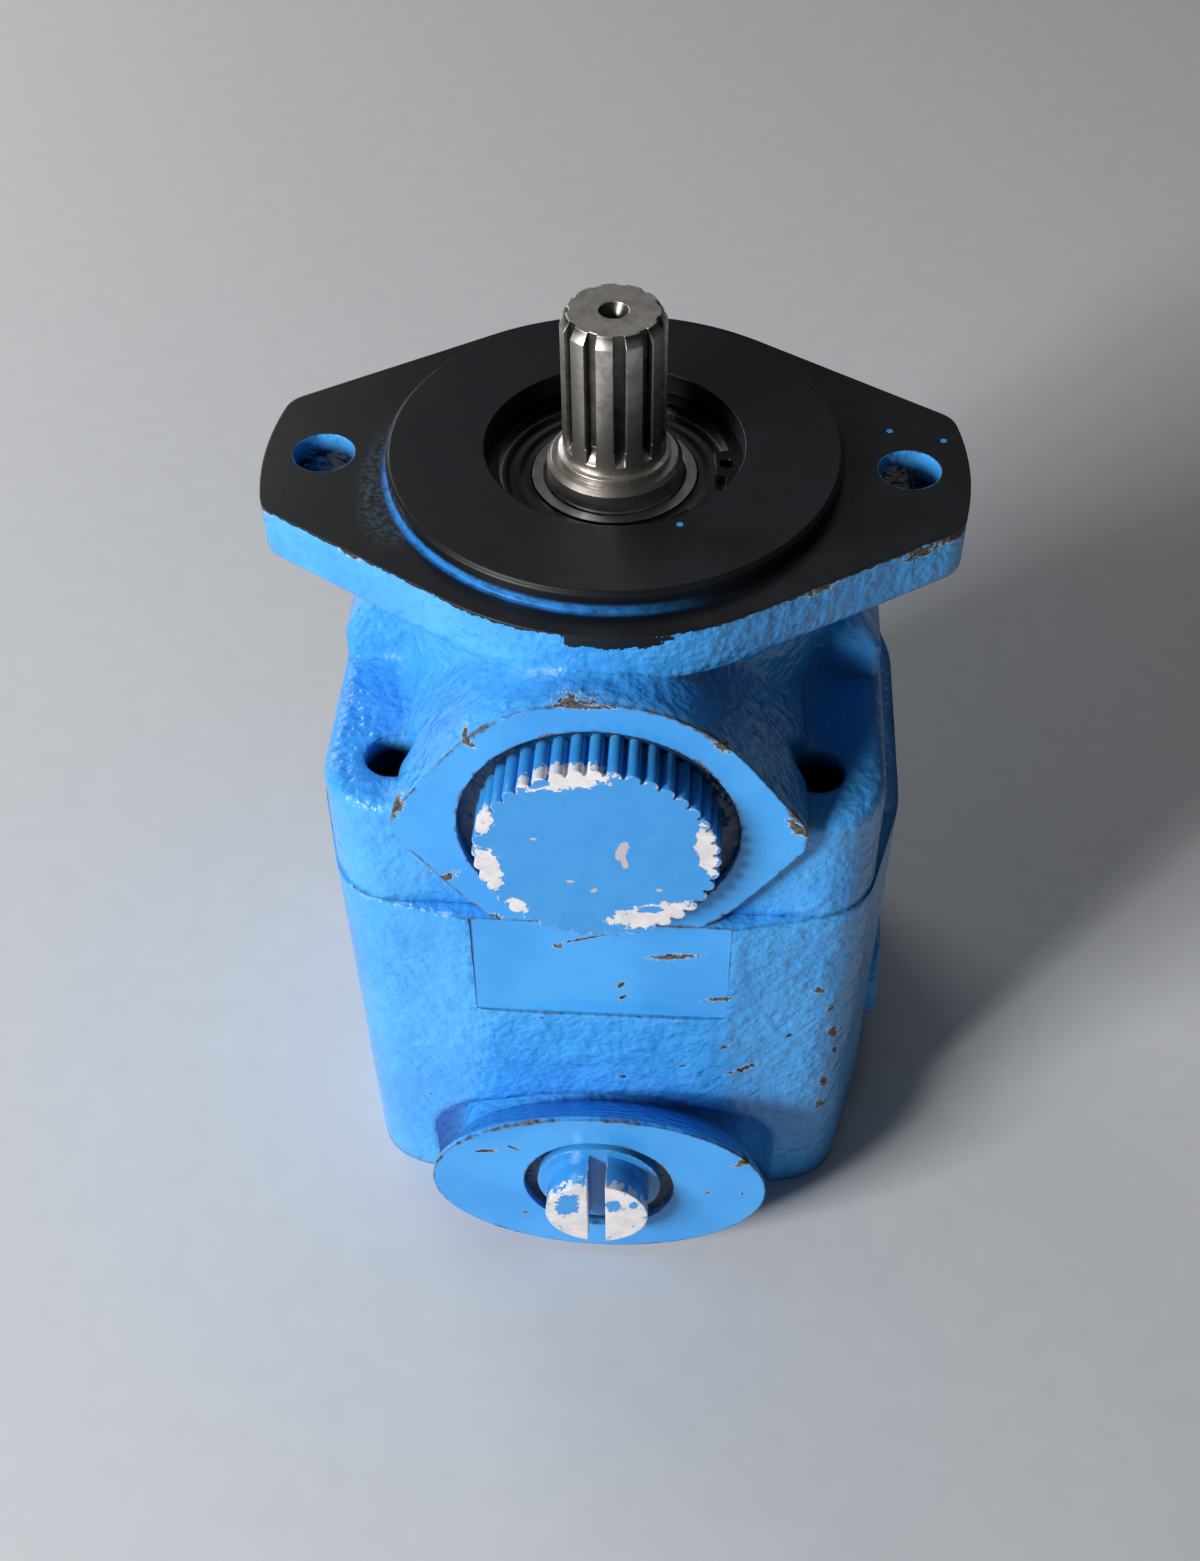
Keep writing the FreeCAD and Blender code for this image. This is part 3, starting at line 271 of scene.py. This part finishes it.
def blackened_flange(tree, mm, z, from_axis, torn, grit, smear, blue):
    """The colour of the blackened face, with the enamel that crept and dripped onto it, and a painted
    highlight in the crept enamel on the left lamp's side.
    """
    # Blue spray that crept into the corner at the foot of the pilot, made strongest to the left and the
    # front, toward the left lamp: the blue is overspray, and its rise on the lamp's side is a painted
    # highlight
    beyond = add(tree, MATH, [from_axis, pilot_radius - 0.15], operation="GREATER_THAN")
    corner = add(tree, RANGE, {"Value": from_axis, "From Min": pilot_radius + 1.2,
                               "From Max": pilot_radius + 0.3, "To Min": 0.0, "To Max": 1.0},
                 interpolation_type="SMOOTHSTEP")
    low = add(tree, RANGE, {"Value": z, "From Min": 2.0, "From Max": 0.9},
              interpolation_type="SMOOTHSTEP")
    toward_left_lamp = (-0.75, -0.66, 0.0)
    lean = add(tree, VECTOR, [mm, toward_left_lamp], out="Value", operation="DOT_PRODUCT")
    lamp_facing = add(tree, RANGE, {"Value": lean, "From Min": 8.0, "From Max": 36.0},
                interpolation_type="SMOOTHSTEP")
    drift = add(tree, RANGE, {"Value": torn, "From Min": 0.35, "From Max": 0.55,
                              "To Min": 0.35, "To Max": 1.0})
    overspray_and_highlight = add(tree, MATH, [corner, beyond], operation="MULTIPLY")
    for part in (low, lamp_facing, drift):
        overspray_and_highlight = add(tree, MATH, [overspray_and_highlight, part], operation="MULTIPLY")
    # Dry overspray on the flange beside the pilot
    from_dust = distance_from(tree, mm, (-37.5, -6.0, 0.0), (1.0, 0.42, 1.0))
    dust = add(tree, RANGE, {"Value": from_dust, "From Min": 9.5, "From Max": 6.5,
                             "To Min": 0.0, "To Max": 0.5}, interpolation_type="SMOOTHSTEP")
    grains = add(tree, RANGE, {"Value": grit, "From Min": 0.42, "From Max": 0.62})
    dust = add(tree, MATH, [dust, grains], operation="MULTIPLY")
    dust = add(tree, MATH, [dust, beyond], operation="MULTIPLY")
    # A few stray drops of enamel
    drops = 0.0
    drop_radius = 0.6
    for drop in ((50.1, 11.5, 0.0), (59.8, 9.0, 0.0), (12.5, -22.6, pilot_height)):
        drop = add(tree, MATH, [distance_from(tree, mm, drop), drop_radius], operation="LESS_THAN")
        drops = add(tree, MATH, [drops, drop], operation="MAXIMUM")
    rubbed = add(tree, RANGE, {"Value": smear, "From Min": 0.42, "From Max": 0.66})
    black = add(tree, MIX, {0: rubbed, 6: srgb("#0a0d11"), 7: srgb("#151a20")},
                out=2, data_type="RGBA")
    black = add(tree, MIX, {0: dust, 6: black, 7: srgb("#4a6072")}, out=2, data_type="RGBA")
    # Blue overspray at the pilot's foot, with a painted highlight on the lamp's side
    black = add(tree, MIX, {0: overspray_and_highlight, 6: black, 7: srgb("#2f86d0")}, out=2, data_type="RGBA")
    return add(tree, MIX, {0: drops, 6: black, 7: blue}, out=2, data_type="RGBA")


def enamel_on_iron(name, milled_faces, port, chips, shaded_holes, masked_top):
    """Grey iron from a sand mould under glossy blue alkyd enamel.

    The enamel follows the sand's lumps, lies smooth on the milled faces, and has flaked to brown iron
    along their sharp rims and wherever the pump was knocked. Painted shade darkens the pits between the
    lumps and the insides of the port and the holes.
    """
    material, tree, mm = new_material(name)
    split = add(tree, "ShaderNodeSeparateXYZ", [mm]).node.outputs
    y, z = split[1], split[2]
    height, lumps, grit, swell, milled = cast_relief(tree, mm, split, milled_faces)
    blue, pit_shaded = enamel_blue(tree, mm, lumps, milled)

    # Torn edges of flakes and masking, 2.8 mm across
    torn = add(tree, NOISE, {"Vector": mm, "Scale": 1 / 2.8, "Detail": 4.0, "Roughness": 0.72})
    rim_depth = 0.9
    off = add(tree, MATH, [y, milled_faces[0][0]], operation="SUBTRACT")
    near_rim = add(tree, MATH, [off, 0.0, rim_depth], operation="COMPARE")
    bare, knock = flaked_enamel(tree, mm, torn, swell, near_rim, chips)
    iron_tone = add(tree, RANGE, {"Value": grit, "From Min": 0.35, "From Max": 0.65})
    iron = add(tree, MIX, {0: iron_tone, 6: srgb("#26211f"), 7: srgb("#6a5f55")},
               out=2, data_type="RGBA")
    lifted = add(tree, MATH, [knock, 1.1, 0.1], operation="COMPARE")
    pale = add(tree, MIX, {0: lifted, 6: pit_shaded, 7: srgb("#a9cdea")}, out=2, data_type="RGBA")
    colour = add(tree, MIX, {0: bare, 6: pale, 7: iron}, out=2, data_type="RGBA")
    # Painted shade inside the port and the holes
    colour = painted_hole_shade(tree, mm, split, colour, port, shaded_holes)
    enamel_roughness, iron_roughness = 0.15, 0.7
    rough = add(tree, MIX, {0: bare, 2: enamel_roughness, 3: iron_roughness})
    metal = 0.0
    sharp = add(tree, MATH, [near_rim, milled], operation="MAXIMUM")

    if masked_top:
        from_axis = distance_from(tree, mm, (0, 0, 0), (1, 1, 0))
        top = masked_area(tree, mm, z, from_axis, torn)
        # Handling smears in the blacking, 14 mm across, with paler rubbed edges
        smear = add(tree, NOISE, {"Vector": mm, "Scale": 1 / 14.0, "Detail": 4.0, "Roughness": 0.65})
        black = blackened_flange(tree, mm, z, from_axis, torn, grit, smear, blue)
        colour = add(tree, MIX, {0: top, 6: colour, 7: black}, out=2, data_type="RGBA")
        satin = add(tree, RANGE, {"Value": smear, "From Min": 0.3, "From Max": 0.7,
                                  "To Min": 0.46, "To Max": 0.3})
        rough = add(tree, MIX, {0: top, 2: rough, 3: satin})
        # Turning marks 0.5 mm apart; the real ones are finer and wouldn't show
        mark_spacing, mark_depth = 0.5, 0.004
        turned = add(tree, MATH, [from_axis, 2 * math.pi / mark_spacing], operation="MULTIPLY")
        turned = add(tree, MATH, [turned], operation="SINE")
        turned = add(tree, MATH, [turned, mark_depth], operation="MULTIPLY")
        height = add(tree, MIX, {0: top, 2: height, 3: turned})
        metal = add(tree, MATH, [top, 0.1], operation="MULTIPLY")
        turned_zone = add(tree, MATH, [z, -1.5], operation="GREATER_THAN")
        sharp = add(tree, MATH, [sharp, turned_zone], operation="MAXIMUM")

    enamel_thickness = 0.12
    sunk = add(tree, MATH, [bare, -enamel_thickness, height], operation="MULTIPLY_ADD")
    # Milled and turned rims stay nearly sharp; everywhere else the mould rounds corners and roots
    corner_radius = add(tree, MIX, {0: sharp, 2: cast_radius * MM, 3: milled_radius * MM})
    soft = add(tree, "ShaderNodeBevel", {"Radius": corner_radius}, samples=6)
    bump = add(tree, "ShaderNodeBump", {"Height": sunk, "Normal": soft, "Distance": MM, "Strength": 0.75})
    shader = add(tree, "ShaderNodeBsdfPrincipled", {
        "Base Color": colour, "Roughness": rough, "Metallic": metal, "Normal": bump,
        "Specular IOR Level": 0.42,
    })
    add(tree, "ShaderNodeOutputMaterial", [shader])
    return material


def machined_steel(name, dark, light, roughness, marks=0.0, stain=0.0):
    """Machined steel: bright metal with tool marks round the shaft axis and grey clouds of oil.

    Marks is the depth of the tool marks in millimetres, stain the share of brown in the spline spaces.
    """
    material, tree, mm = new_material(name)
    z = add(tree, "ShaderNodeSeparateXYZ", [mm], out="Z")
    from_axis = distance_from(tree, mm, (0, 0, 0), (1, 1, 0))
    cloud = add(tree, NOISE, {"Vector": mm, "Scale": 1 / 3.2, "Detail": 4.0, "Roughness": 0.65})
    share = add(tree, RANGE, {"Value": cloud, "From Min": 0.32, "From Max": 0.68},
                interpolation_type="SMOOTHSTEP")
    colour = add(tree, MIX, {0: share, 6: srgb(dark), 7: srgb(light)}, out=2, data_type="RGBA")
    rough = add(tree, RANGE, {"Value": cloud, "From Min": 0.3, "From Max": 0.7,
                              "To Min": roughness + 0.08, "To Max": roughness - 0.05})
    # Tool marks 0.25 mm apart, along the axis and across the end faces alike; the real ones are
    # nearer 0.1 mm, too fine to show
    round_axis = add(tree, "ShaderNodeCombineXYZ", [from_axis, 0.0, z])
    lines = add(tree, NOISE, {"Vector": round_axis, "Scale": 1 / 0.25, "Detail": 2.0, "Roughness": 0.5})
    height = add(tree, MATH, [lines, marks], operation="MULTIPLY")
    height = add(tree, MATH, [cloud, 0.01, height], operation="MULTIPLY_ADD")
    if stain:
        # Brown stain in the spline spaces, between two radii
        deep = add(tree, RANGE, {"Value": from_axis, "From Min": spline_stain_edge,
                                 "From Max": spline_stain_full}, interpolation_type="SMOOTHSTEP")
        flank = add(tree, MATH, [z, shaft_end_height - 0.1], operation="LESS_THAN")
        deep = add(tree, MATH, [deep, flank], operation="MULTIPLY")
        deep = add(tree, MATH, [deep, stain], operation="MULTIPLY")
        colour = add(tree, MIX, {0: deep, 6: colour, 7: srgb("#1a1512")}, out=2, data_type="RGBA")
        # A brown film of oil on the collar and the seat below it, between two heights
        film = add(tree, RANGE, {"Value": z, "From Min": oil_film_edge, "From Max": oil_film_full,
                                 "To Min": 0.0, "To Max": stain / 2})
        colour = add(tree, MIX, {0: film, 6: colour, 7: srgb("#3d332d")}, out=2, data_type="RGBA")
    soft = add(tree, "ShaderNodeBevel", {"Radius": steel_radius * MM}, samples=4)
    bump = add(tree, "ShaderNodeBump", {"Height": height, "Normal": soft, "Distance": MM, "Strength": 0.8})
    shader = add(tree, "ShaderNodeBsdfPrincipled", {
        "Base Color": colour, "Roughness": rough, "Metallic": 1.0, "Normal": bump,
    })
    add(tree, "ShaderNodeOutputMaterial", [shader])
    return material


def moulded(name, code, lighter, roughness, ring_spacing=0.0):
    """Rubber or plastic from a mould: even and low in gloss, with a faint skin.

    The skin is drawn 0.8 mm across, coarser than the real one, which wouldn't show.
    """
    material, tree, mm = new_material(name)
    skin = add(tree, NOISE, {"Vector": mm, "Scale": 1 / 0.8, "Detail": 3.0, "Roughness": 0.55})
    share = add(tree, RANGE, {"Value": skin, "From Min": 0.3, "From Max": 0.7},
                interpolation_type="SMOOTHSTEP")
    colour = add(tree, MIX, {0: share, 6: srgb(code), 7: srgb(lighter)}, out=2, data_type="RGBA")
    height = add(tree, MATH, [skin, 0.03], operation="MULTIPLY")
    if ring_spacing:
        # Round beads moulded into the shield
        from_axis = distance_from(tree, mm, (0, 0, 0), (1, 1, 0))
        beads = add(tree, MATH, [from_axis, 2 * math.pi / ring_spacing], operation="MULTIPLY")
        beads = add(tree, MATH, [beads], operation="SINE")
        height = add(tree, MATH, [beads, 0.08, height], operation="MULTIPLY_ADD")
    bump = add(tree, "ShaderNodeBump", {"Height": height, "Distance": MM, "Strength": 0.8})
    shader = add(tree, "ShaderNodeBsdfPrincipled", {
        "Base Color": colour, "Roughness": roughness, "Normal": bump,
    })
    add(tree, "ShaderNodeOutputMaterial", [shader])
    return material


def sprayed_plug(name, peeled_spots, kept_spots, scrapes):
    """White polyethylene that caught the blue enamel, which peels from it in sheets.

    Peeled spots show the white plastic; kept spots are islands of blue left inside them.
    """
    material, tree, mm = new_material(name)
    cloud = add(tree, NOISE, {"Vector": mm, "Scale": 1 / 4.5, "Detail": 4.0, "Roughness": 0.65})
    torn = add(tree, NOISE, {"Vector": mm, "Scale": 1 / 1.6, "Detail": 4.0, "Roughness": 0.7})
    wobble = add(tree, RANGE, {"Value": torn, "From Min": 0.25, "From Max": 0.75,
                               "To Min": -0.5, "To Max": 0.5})
    peeled = add(tree, MATH, [ragged_ovals(tree, mm, wobble, peeled_spots), 1.0], operation="LESS_THAN")
    kept = add(tree, MATH, [ragged_ovals(tree, mm, wobble, kept_spots), 1.0], operation="LESS_THAN")
    edge = outer_edges(tree, 0.8)
    rim = add(tree, MATH, [edge, 0.5, torn], operation="MULTIPLY_ADD")
    rubbed = add(tree, MATH, [rim, 0.82], operation="GREATER_THAN")
    peeled = add(tree, MATH, [peeled, kept], operation="SUBTRACT", use_clamp=True)
    peeled = add(tree, MATH, [peeled, rubbed], operation="MAXIMUM")
    share = add(tree, RANGE, {"Value": cloud, "From Min": 0.35, "From Max": 0.65},
                interpolation_type="SMOOTHSTEP")
    blue = add(tree, MIX, {0: share, 6: srgb("#3590d6"), 7: srgb("#3b95da")}, out=2, data_type="RGBA")
    white = add(tree, MIX, {0: share, 6: srgb("#cfcccd"), 7: srgb("#e4dfde")}, out=2, data_type="RGBA")
    colour = add(tree, MIX, {0: peeled, 6: blue, 7: white}, out=2, data_type="RGBA")
    scraped = add(tree, MATH, [ragged_ovals(tree, mm, wobble, scrapes), 1.0], operation="LESS_THAN")
    colour = add(tree, MIX, {0: scraped, 6: colour, 7: srgb("#b9b2b4")}, out=2, data_type="RGBA")
    rough = add(tree, MIX, {0: peeled, 2: 0.2, 3: 0.5})
    height = add(tree, MATH, [torn, 0.05], operation="MULTIPLY")
    height = add(tree, MATH, [peeled, -0.1, height], operation="MULTIPLY_ADD")
    soft = add(tree, "ShaderNodeBevel", {"Radius": plastic_radius * MM}, samples=4)
    bump = add(tree, "ShaderNodeBump", {"Height": height, "Normal": soft, "Distance": MM, "Strength": 0.8})
    shader = add(tree, "ShaderNodeBsdfPrincipled", {
        "Base Color": colour, "Roughness": rough, "Normal": bump, "Coat Weight": 0.15,
    })
    add(tree, "ShaderNodeOutputMaterial", [shader])
    return material


# Knocks in the enamel: x, y, z, half length, half width and lean in degrees. Their places, and those
# of the peeled patches below, were picked out on the photo and carried onto the faces through the
# camera; sizes and leans were judged
body_chips = [
    (-29.5, inlet_face, -54.5, 4.2, 0.8, 35), (-18.1, inlet_face, -9.9, 1.8, 0.7, -30),
    (20.9, inlet_face, -16.8, 1.6, 0.7, -40), (-35.9, inlet_face, -35.4, 2.2, 1.0, 60),
    (34.8, inlet_face, -36.3, 2.4, 1.0, -60), (-20.1, inlet_face, -65.0, 1.6, 1.6, 0),
    (51.5, -38.0, -42.5, 1.6, 1.8, 0),
    (59.5, -16.5, -1.0, 4.2, 1.1, 0), (54.0, -20.5, -1.6, 2.6, 1.3, 0), (36.0, -31.5, -0.8, 3.0, 0.8, 0),
    (-61.5, -14.0, -0.6, 2.6, 0.9, 0), (-44.0, -27.0, -0.6, 2.0, 0.6, 0),
    (-2.5, inlet_face, -8.6, 4.4, 0.5, 0), (-22.7, inlet_face, -17.2, 2.4, 0.6, -46),
    (13.0, -38.0, -19.5, 0.7, 0.9, 0), (15.1, inlet_face, -20.6, 1.1, 0.4, 10),
]
cover_chips = [
    (13.6, inlet_face, -73.9, 3.9, 0.7, 8), (23.2, inlet_face, -86.4, 2.3, 0.6, 10),
    (3.9, inlet_face, -83.3, 1.0, 0.5, 60), (4.3, inlet_face, -87.1, 0.9, 0.4, 50),
    (-3.0, inlet_face, -69.6, 4.6, 0.3, 20), (-8.0, inlet_face, -72.1, 0.8, 0.6, 0),
    (28.8, -54.8, -110.9, 2.9, 0.7, 18), (24.5, -55.3, -102.3, 0.9, 0.5, 30),
    (42.3, -51.5, -88.1, 1.1, 0.9, -30), (45.4, -51.0, -95.3, 1.1, 0.9, -30),
    (46.4, -49.0, -104.7, 0.8, 2.2, 20), (45.9, -49.0, -121.7, 0.7, 1.8, 15),
    (45.5, -49.0, -129.8, 0.9, 1.3, 20),
    (37.4, -52.5, -101.6, 0.5, 0.6, 0), (47.3, -49.0, -111.7, 0.5, 1.0, 10),
    (4.3, front_panel, -113.2, 0.7, 0.5, 0), (16.4, front_panel, -108.4, 0.9, 0.3, 20),
    (-22.7, outlet_face, -120.5, 1.9, 0.5, 8), (-17.1, outlet_face, -118.9, 1.1, 0.4, -35),
    (29.5, outlet_face, -120.0, 2.4, 0.9, 40), (22.3, outlet_face, -132.4, 0.5, 0.5, 0),
    (29.5, outlet_face, -132.1, 0.4, 0.5, 0), (-15.7, outlet_face, -143.3, 0.6, 0.4, 0),
]
inlet_plug_peeled = [
    (-6.0, inlet_plug_front, -20.0, 9.4, 2.6, 8), (-19.9, inlet_plug_front, -31.5, 2.2, 3.4, 0),
    (-19.3, inlet_plug_front, -43.8, 2.6, 5.4, 12), (-14.6, inlet_plug_front, -53.7, 2.2, 1.8, -30),
    (19.3, inlet_plug_front, -36.7, 1.8, 6.2, 8), (11.5, inlet_plug_front, -54.5, 9.4, 3.0, 14),
]
inlet_plug_kept = [
    (-9.5, inlet_plug_front, -21.5, 2.0, 0.9, 20), (9.5, inlet_plug_front, -53.2, 2.4, 0.9, 10),
]
inlet_plug_scrapes = [
    (4.6, inlet_plug_front, -37.6, 0.9, 2.6, -16), (4.9, inlet_plug_front, -40.6, 0.6, 1.8, 8),
    (-11.0, inlet_plug_front, -35.4, 0.6, 0.3, 0), (-4.6, inlet_plug_front, -46.3, 0.6, 0.4, 0),
    (-0.5, inlet_plug_front, -48.5, 0.7, 0.5, 30), (11.2, inlet_plug_front, -47.8, 0.5, 0.4, 0),
]
outlet_plug_peeled = [(0.0, outlet_plug_front, outlet_centre_z, 12.0, 12.0, 0)]
outlet_plug_kept = [
    (-5.9, outlet_plug_front, -128.4, 2.3, 4.2, -12), (3.4, outlet_plug_front, -127.9, 1.6, 2.0, 0),
    (7.6, outlet_plug_front, -127.3, 0.9, 1.3, 0),
]
outlet_plug_scrapes = [(5.4, outlet_plug_front, -129.0, 0.6, 0.6, 0)]

# Holes painted dark inside as painted shade: x, y, radius and the heights of the mouth and the end
body_shaded_holes = []
for side in (-1, 1):
    body_shaded_holes.append((side * bolt_offset, 0.0, bolt_hole_edge, 0.0, flange_bottom))
for x_side in (-1, 1):
    for y_side in (-1, 1):
        place = (x_side * screw_offset, y_side * screw_offset)
        body_shaded_holes.append(place + (screw_hole_edge, shoulder_z, joint_z))

# The milled faces: y, half width and bottom
whole_face = 60.0
body_paint = enamel_on_iron(
    "enamel_on_body_casting",
    [(inlet_face, whole_face, joint_z - 1.0)],
    inlet_port, body_chips, body_shaded_holes, True,
)
cover_paint = enamel_on_iron(
    "enamel_on_cover_casting",
    [(outlet_face, whole_face, base_z), (inlet_face, pad_half_width, pad_bottom)],
    outlet_port, cover_chips, [], False,
)
shaft_steel = machined_steel("hobbed_shaft_steel", "#aea8a0", "#e4dfd8", 0.37, 0.02, 0.8)
race_steel = machined_steel("ground_bearing_steel", "#868a8b", "#9fa3a4", 0.34, 0.01)
ball_steel = machined_steel("polished_ball_steel", "#b9bcbe", "#dadcde", 0.12)
tool_steel = machined_steel("ground_tool_steel", "#77787a", "#a2a3a5", 0.28, 0.01)
ring_steel = machined_steel("phosphated_ring_steel", "#242528", "#3c3d41", 0.26, 0.01)
screw_steel = machined_steel("black_oxide_screw_steel", "#1a1a1c", "#2c2c30", 0.38, 0.01)
spring_steel = machined_steel("drawn_spring_wire", "#55565a", "#85878b", 0.32)
lapped_iron = machined_steel("lapped_grey_iron", "#4a4a4b", "#767677", 0.42, 0.01)
turned_bronze = machined_steel("turned_bearing_bronze", "#8a6632", "#c39850", 0.32, 0.02)
black_nitrile = moulded("black_nitrile_rubber", "#0c0c0d", "#131315", 0.42)
shield_rubber = moulded("nitrile_bearing_shield", "#0d0d0e", "#161618", 0.3, 2.6)
brown_rubber = moulded("brown_fluoro_rubber", "#2c1a12", "#38231a", 0.45)
backup_plastic = moulded("white_backup_plastic", "#d2d0c9", "#dedcd5", 0.5)
inlet_plug_finish = sprayed_plug(
    "sprayed_inlet_plug", inlet_plug_peeled, inlet_plug_kept, inlet_plug_scrapes)
outlet_plug_finish = sprayed_plug(
    "sprayed_outlet_plug", outlet_plug_peeled, outlet_plug_kept, outlet_plug_scrapes)

finishes = {
    "body_casting": body_paint,
    "cover_casting": cover_paint,
    "cover_seal": black_nitrile,
    "cover_screws": screw_steel,
    "drive_shaft": shaft_steel,
    "shaft_snap_ring": ring_steel,
    "bearing_inner_race": race_steel,
    "bearing_outer_race": race_steel,
    "bearing_balls": ball_steel,
    "bearing_cage": race_steel,
    "bearing_outer_shield": shield_rubber,
    "bearing_inner_shield": shield_rubber,
    "bearing_snap_ring": ring_steel,
    "shaft_seal": brown_rubber,
    "shaft_seal_spring": spring_steel,
    "shaft_bush": turned_bronze,
    "cam_ring": tool_steel,
    "rotor": tool_steel,
    "pressure_plate": lapped_iron,
    "pressure_plate_seal": black_nitrile,
    "pressure_plate_backup_ring": backup_plastic,
    "pressure_plate_spring": spring_steel,
    "dowel_pins": tool_steel,
    "inlet_plug": inlet_plug_finish,
    "outlet_plug": outlet_plug_finish,
}
for node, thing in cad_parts.items():
    thing.data.materials.clear()
    thing.data.materials.append(finishes.get(node, tool_steel))


def make_floor():
    """A plain pale floor under the base of the cover."""
    bpy.ops.object.select_all(action="DESELECT")
    bpy.ops.mesh.primitive_plane_add(size=6.0, location=(0, 0, base_z * MM))
    floor = bpy.context.object
    floor.name = "pale_floor"
    material, tree, mm = new_material("pale_matt_floor")
    grain = add(tree, NOISE, {"Vector": mm, "Scale": 1 / 8.0, "Detail": 3.0, "Roughness": 0.5})
    colour = add(tree, MIX, {0: grain, 6: srgb("#c8cacc"), 7: srgb("#d0d2d3")}, out=2, data_type="RGBA")
    shader = add(tree, "ShaderNodeBsdfPrincipled", {"Base Color": colour, "Roughness": 0.6})
    add(tree, "ShaderNodeOutputMaterial", [shader])
    floor.data.materials.append(material)


def make_light(name, place, target, size, power, tint):
    lamp = bpy.data.lights.new(name, "AREA")
    lamp.shape = "RECTANGLE"
    lamp.size, lamp.size_y = size
    lamp.energy = power
    lamp.color = srgb(tint)[:3]
    thing = bpy.data.objects.new(name, lamp)
    bpy.context.collection.objects.link(thing)
    thing.location = place
    thing.rotation_mode = "QUATERNION"
    thing.rotation_quaternion = (Vector(target) - Vector(place)).to_track_quat("-Z", "Y")


def make_camera():
    """The photograph's viewpoint, found from the outlines of the flange, pilot, spline and ports."""
    yaw, pitch, roll = -0.0725, 0.8123, -0.0152
    focal_pixels, frame_height = 1934.73, 1561
    place = Vector((17.0095, -282.7244, 214.8208)) * MM
    forward = Vector((math.sin(yaw) * math.cos(pitch), math.cos(yaw) * math.cos(pitch), -math.sin(pitch)))
    level = Vector((math.cos(yaw), -math.sin(yaw), 0))
    raised = level.cross(forward)
    right = level * math.cos(roll) + raised * math.sin(roll)
    up = raised * math.cos(roll) - level * math.sin(roll)
    data = bpy.data.cameras.new("camera")
    data.sensor_width = 36.0
    data.lens = focal_pixels / frame_height * data.sensor_width
    data.clip_start = 0.01
    thing = bpy.data.objects.new("camera", data)
    bpy.context.collection.objects.link(thing)
    turn = Matrix((right, up, -forward)).transposed()
    thing.matrix_world = Matrix.Translation(place) @ turn.to_4x4()
    bpy.context.scene.camera = thing


def make_world():
    world = bpy.data.worlds.new("studio")
    world.use_nodes = True
    tree = world.node_tree
    tree.nodes.clear()
    back = add(tree, "ShaderNodeBackground", {"Color": srgb("#dfe3e8"), "Strength": 0.06})
    add(tree, "ShaderNodeOutputWorld", [back])
    bpy.context.scene.world = world


make_floor()
make_world()
# Lights stand at these places in metres, and the first three face the middle of the pump
pump_middle = (0, 0, -0.06)
make_light("left_softbox", (-0.97, -0.84, 0.52), pump_middle, (0.45, 0.35), 20.0, "#fdfdff")
make_light("front_gleam", (-0.72, -0.9, 0.5), pump_middle, (0.12, 0.12), 5.0, "#ffffff")
make_light("back_fill", (-0.8, 1.0, 0.5), pump_middle, (0.7, 0.5), 5.0, "#ffffff")
make_light("top_soft", (0.1, 0.7, 1.0), (0, 0, 0), (0.7, 0.5), 0.7, "#ffffff")
make_camera()
bpy.context.scene.view_settings.view_transform = "Standard"
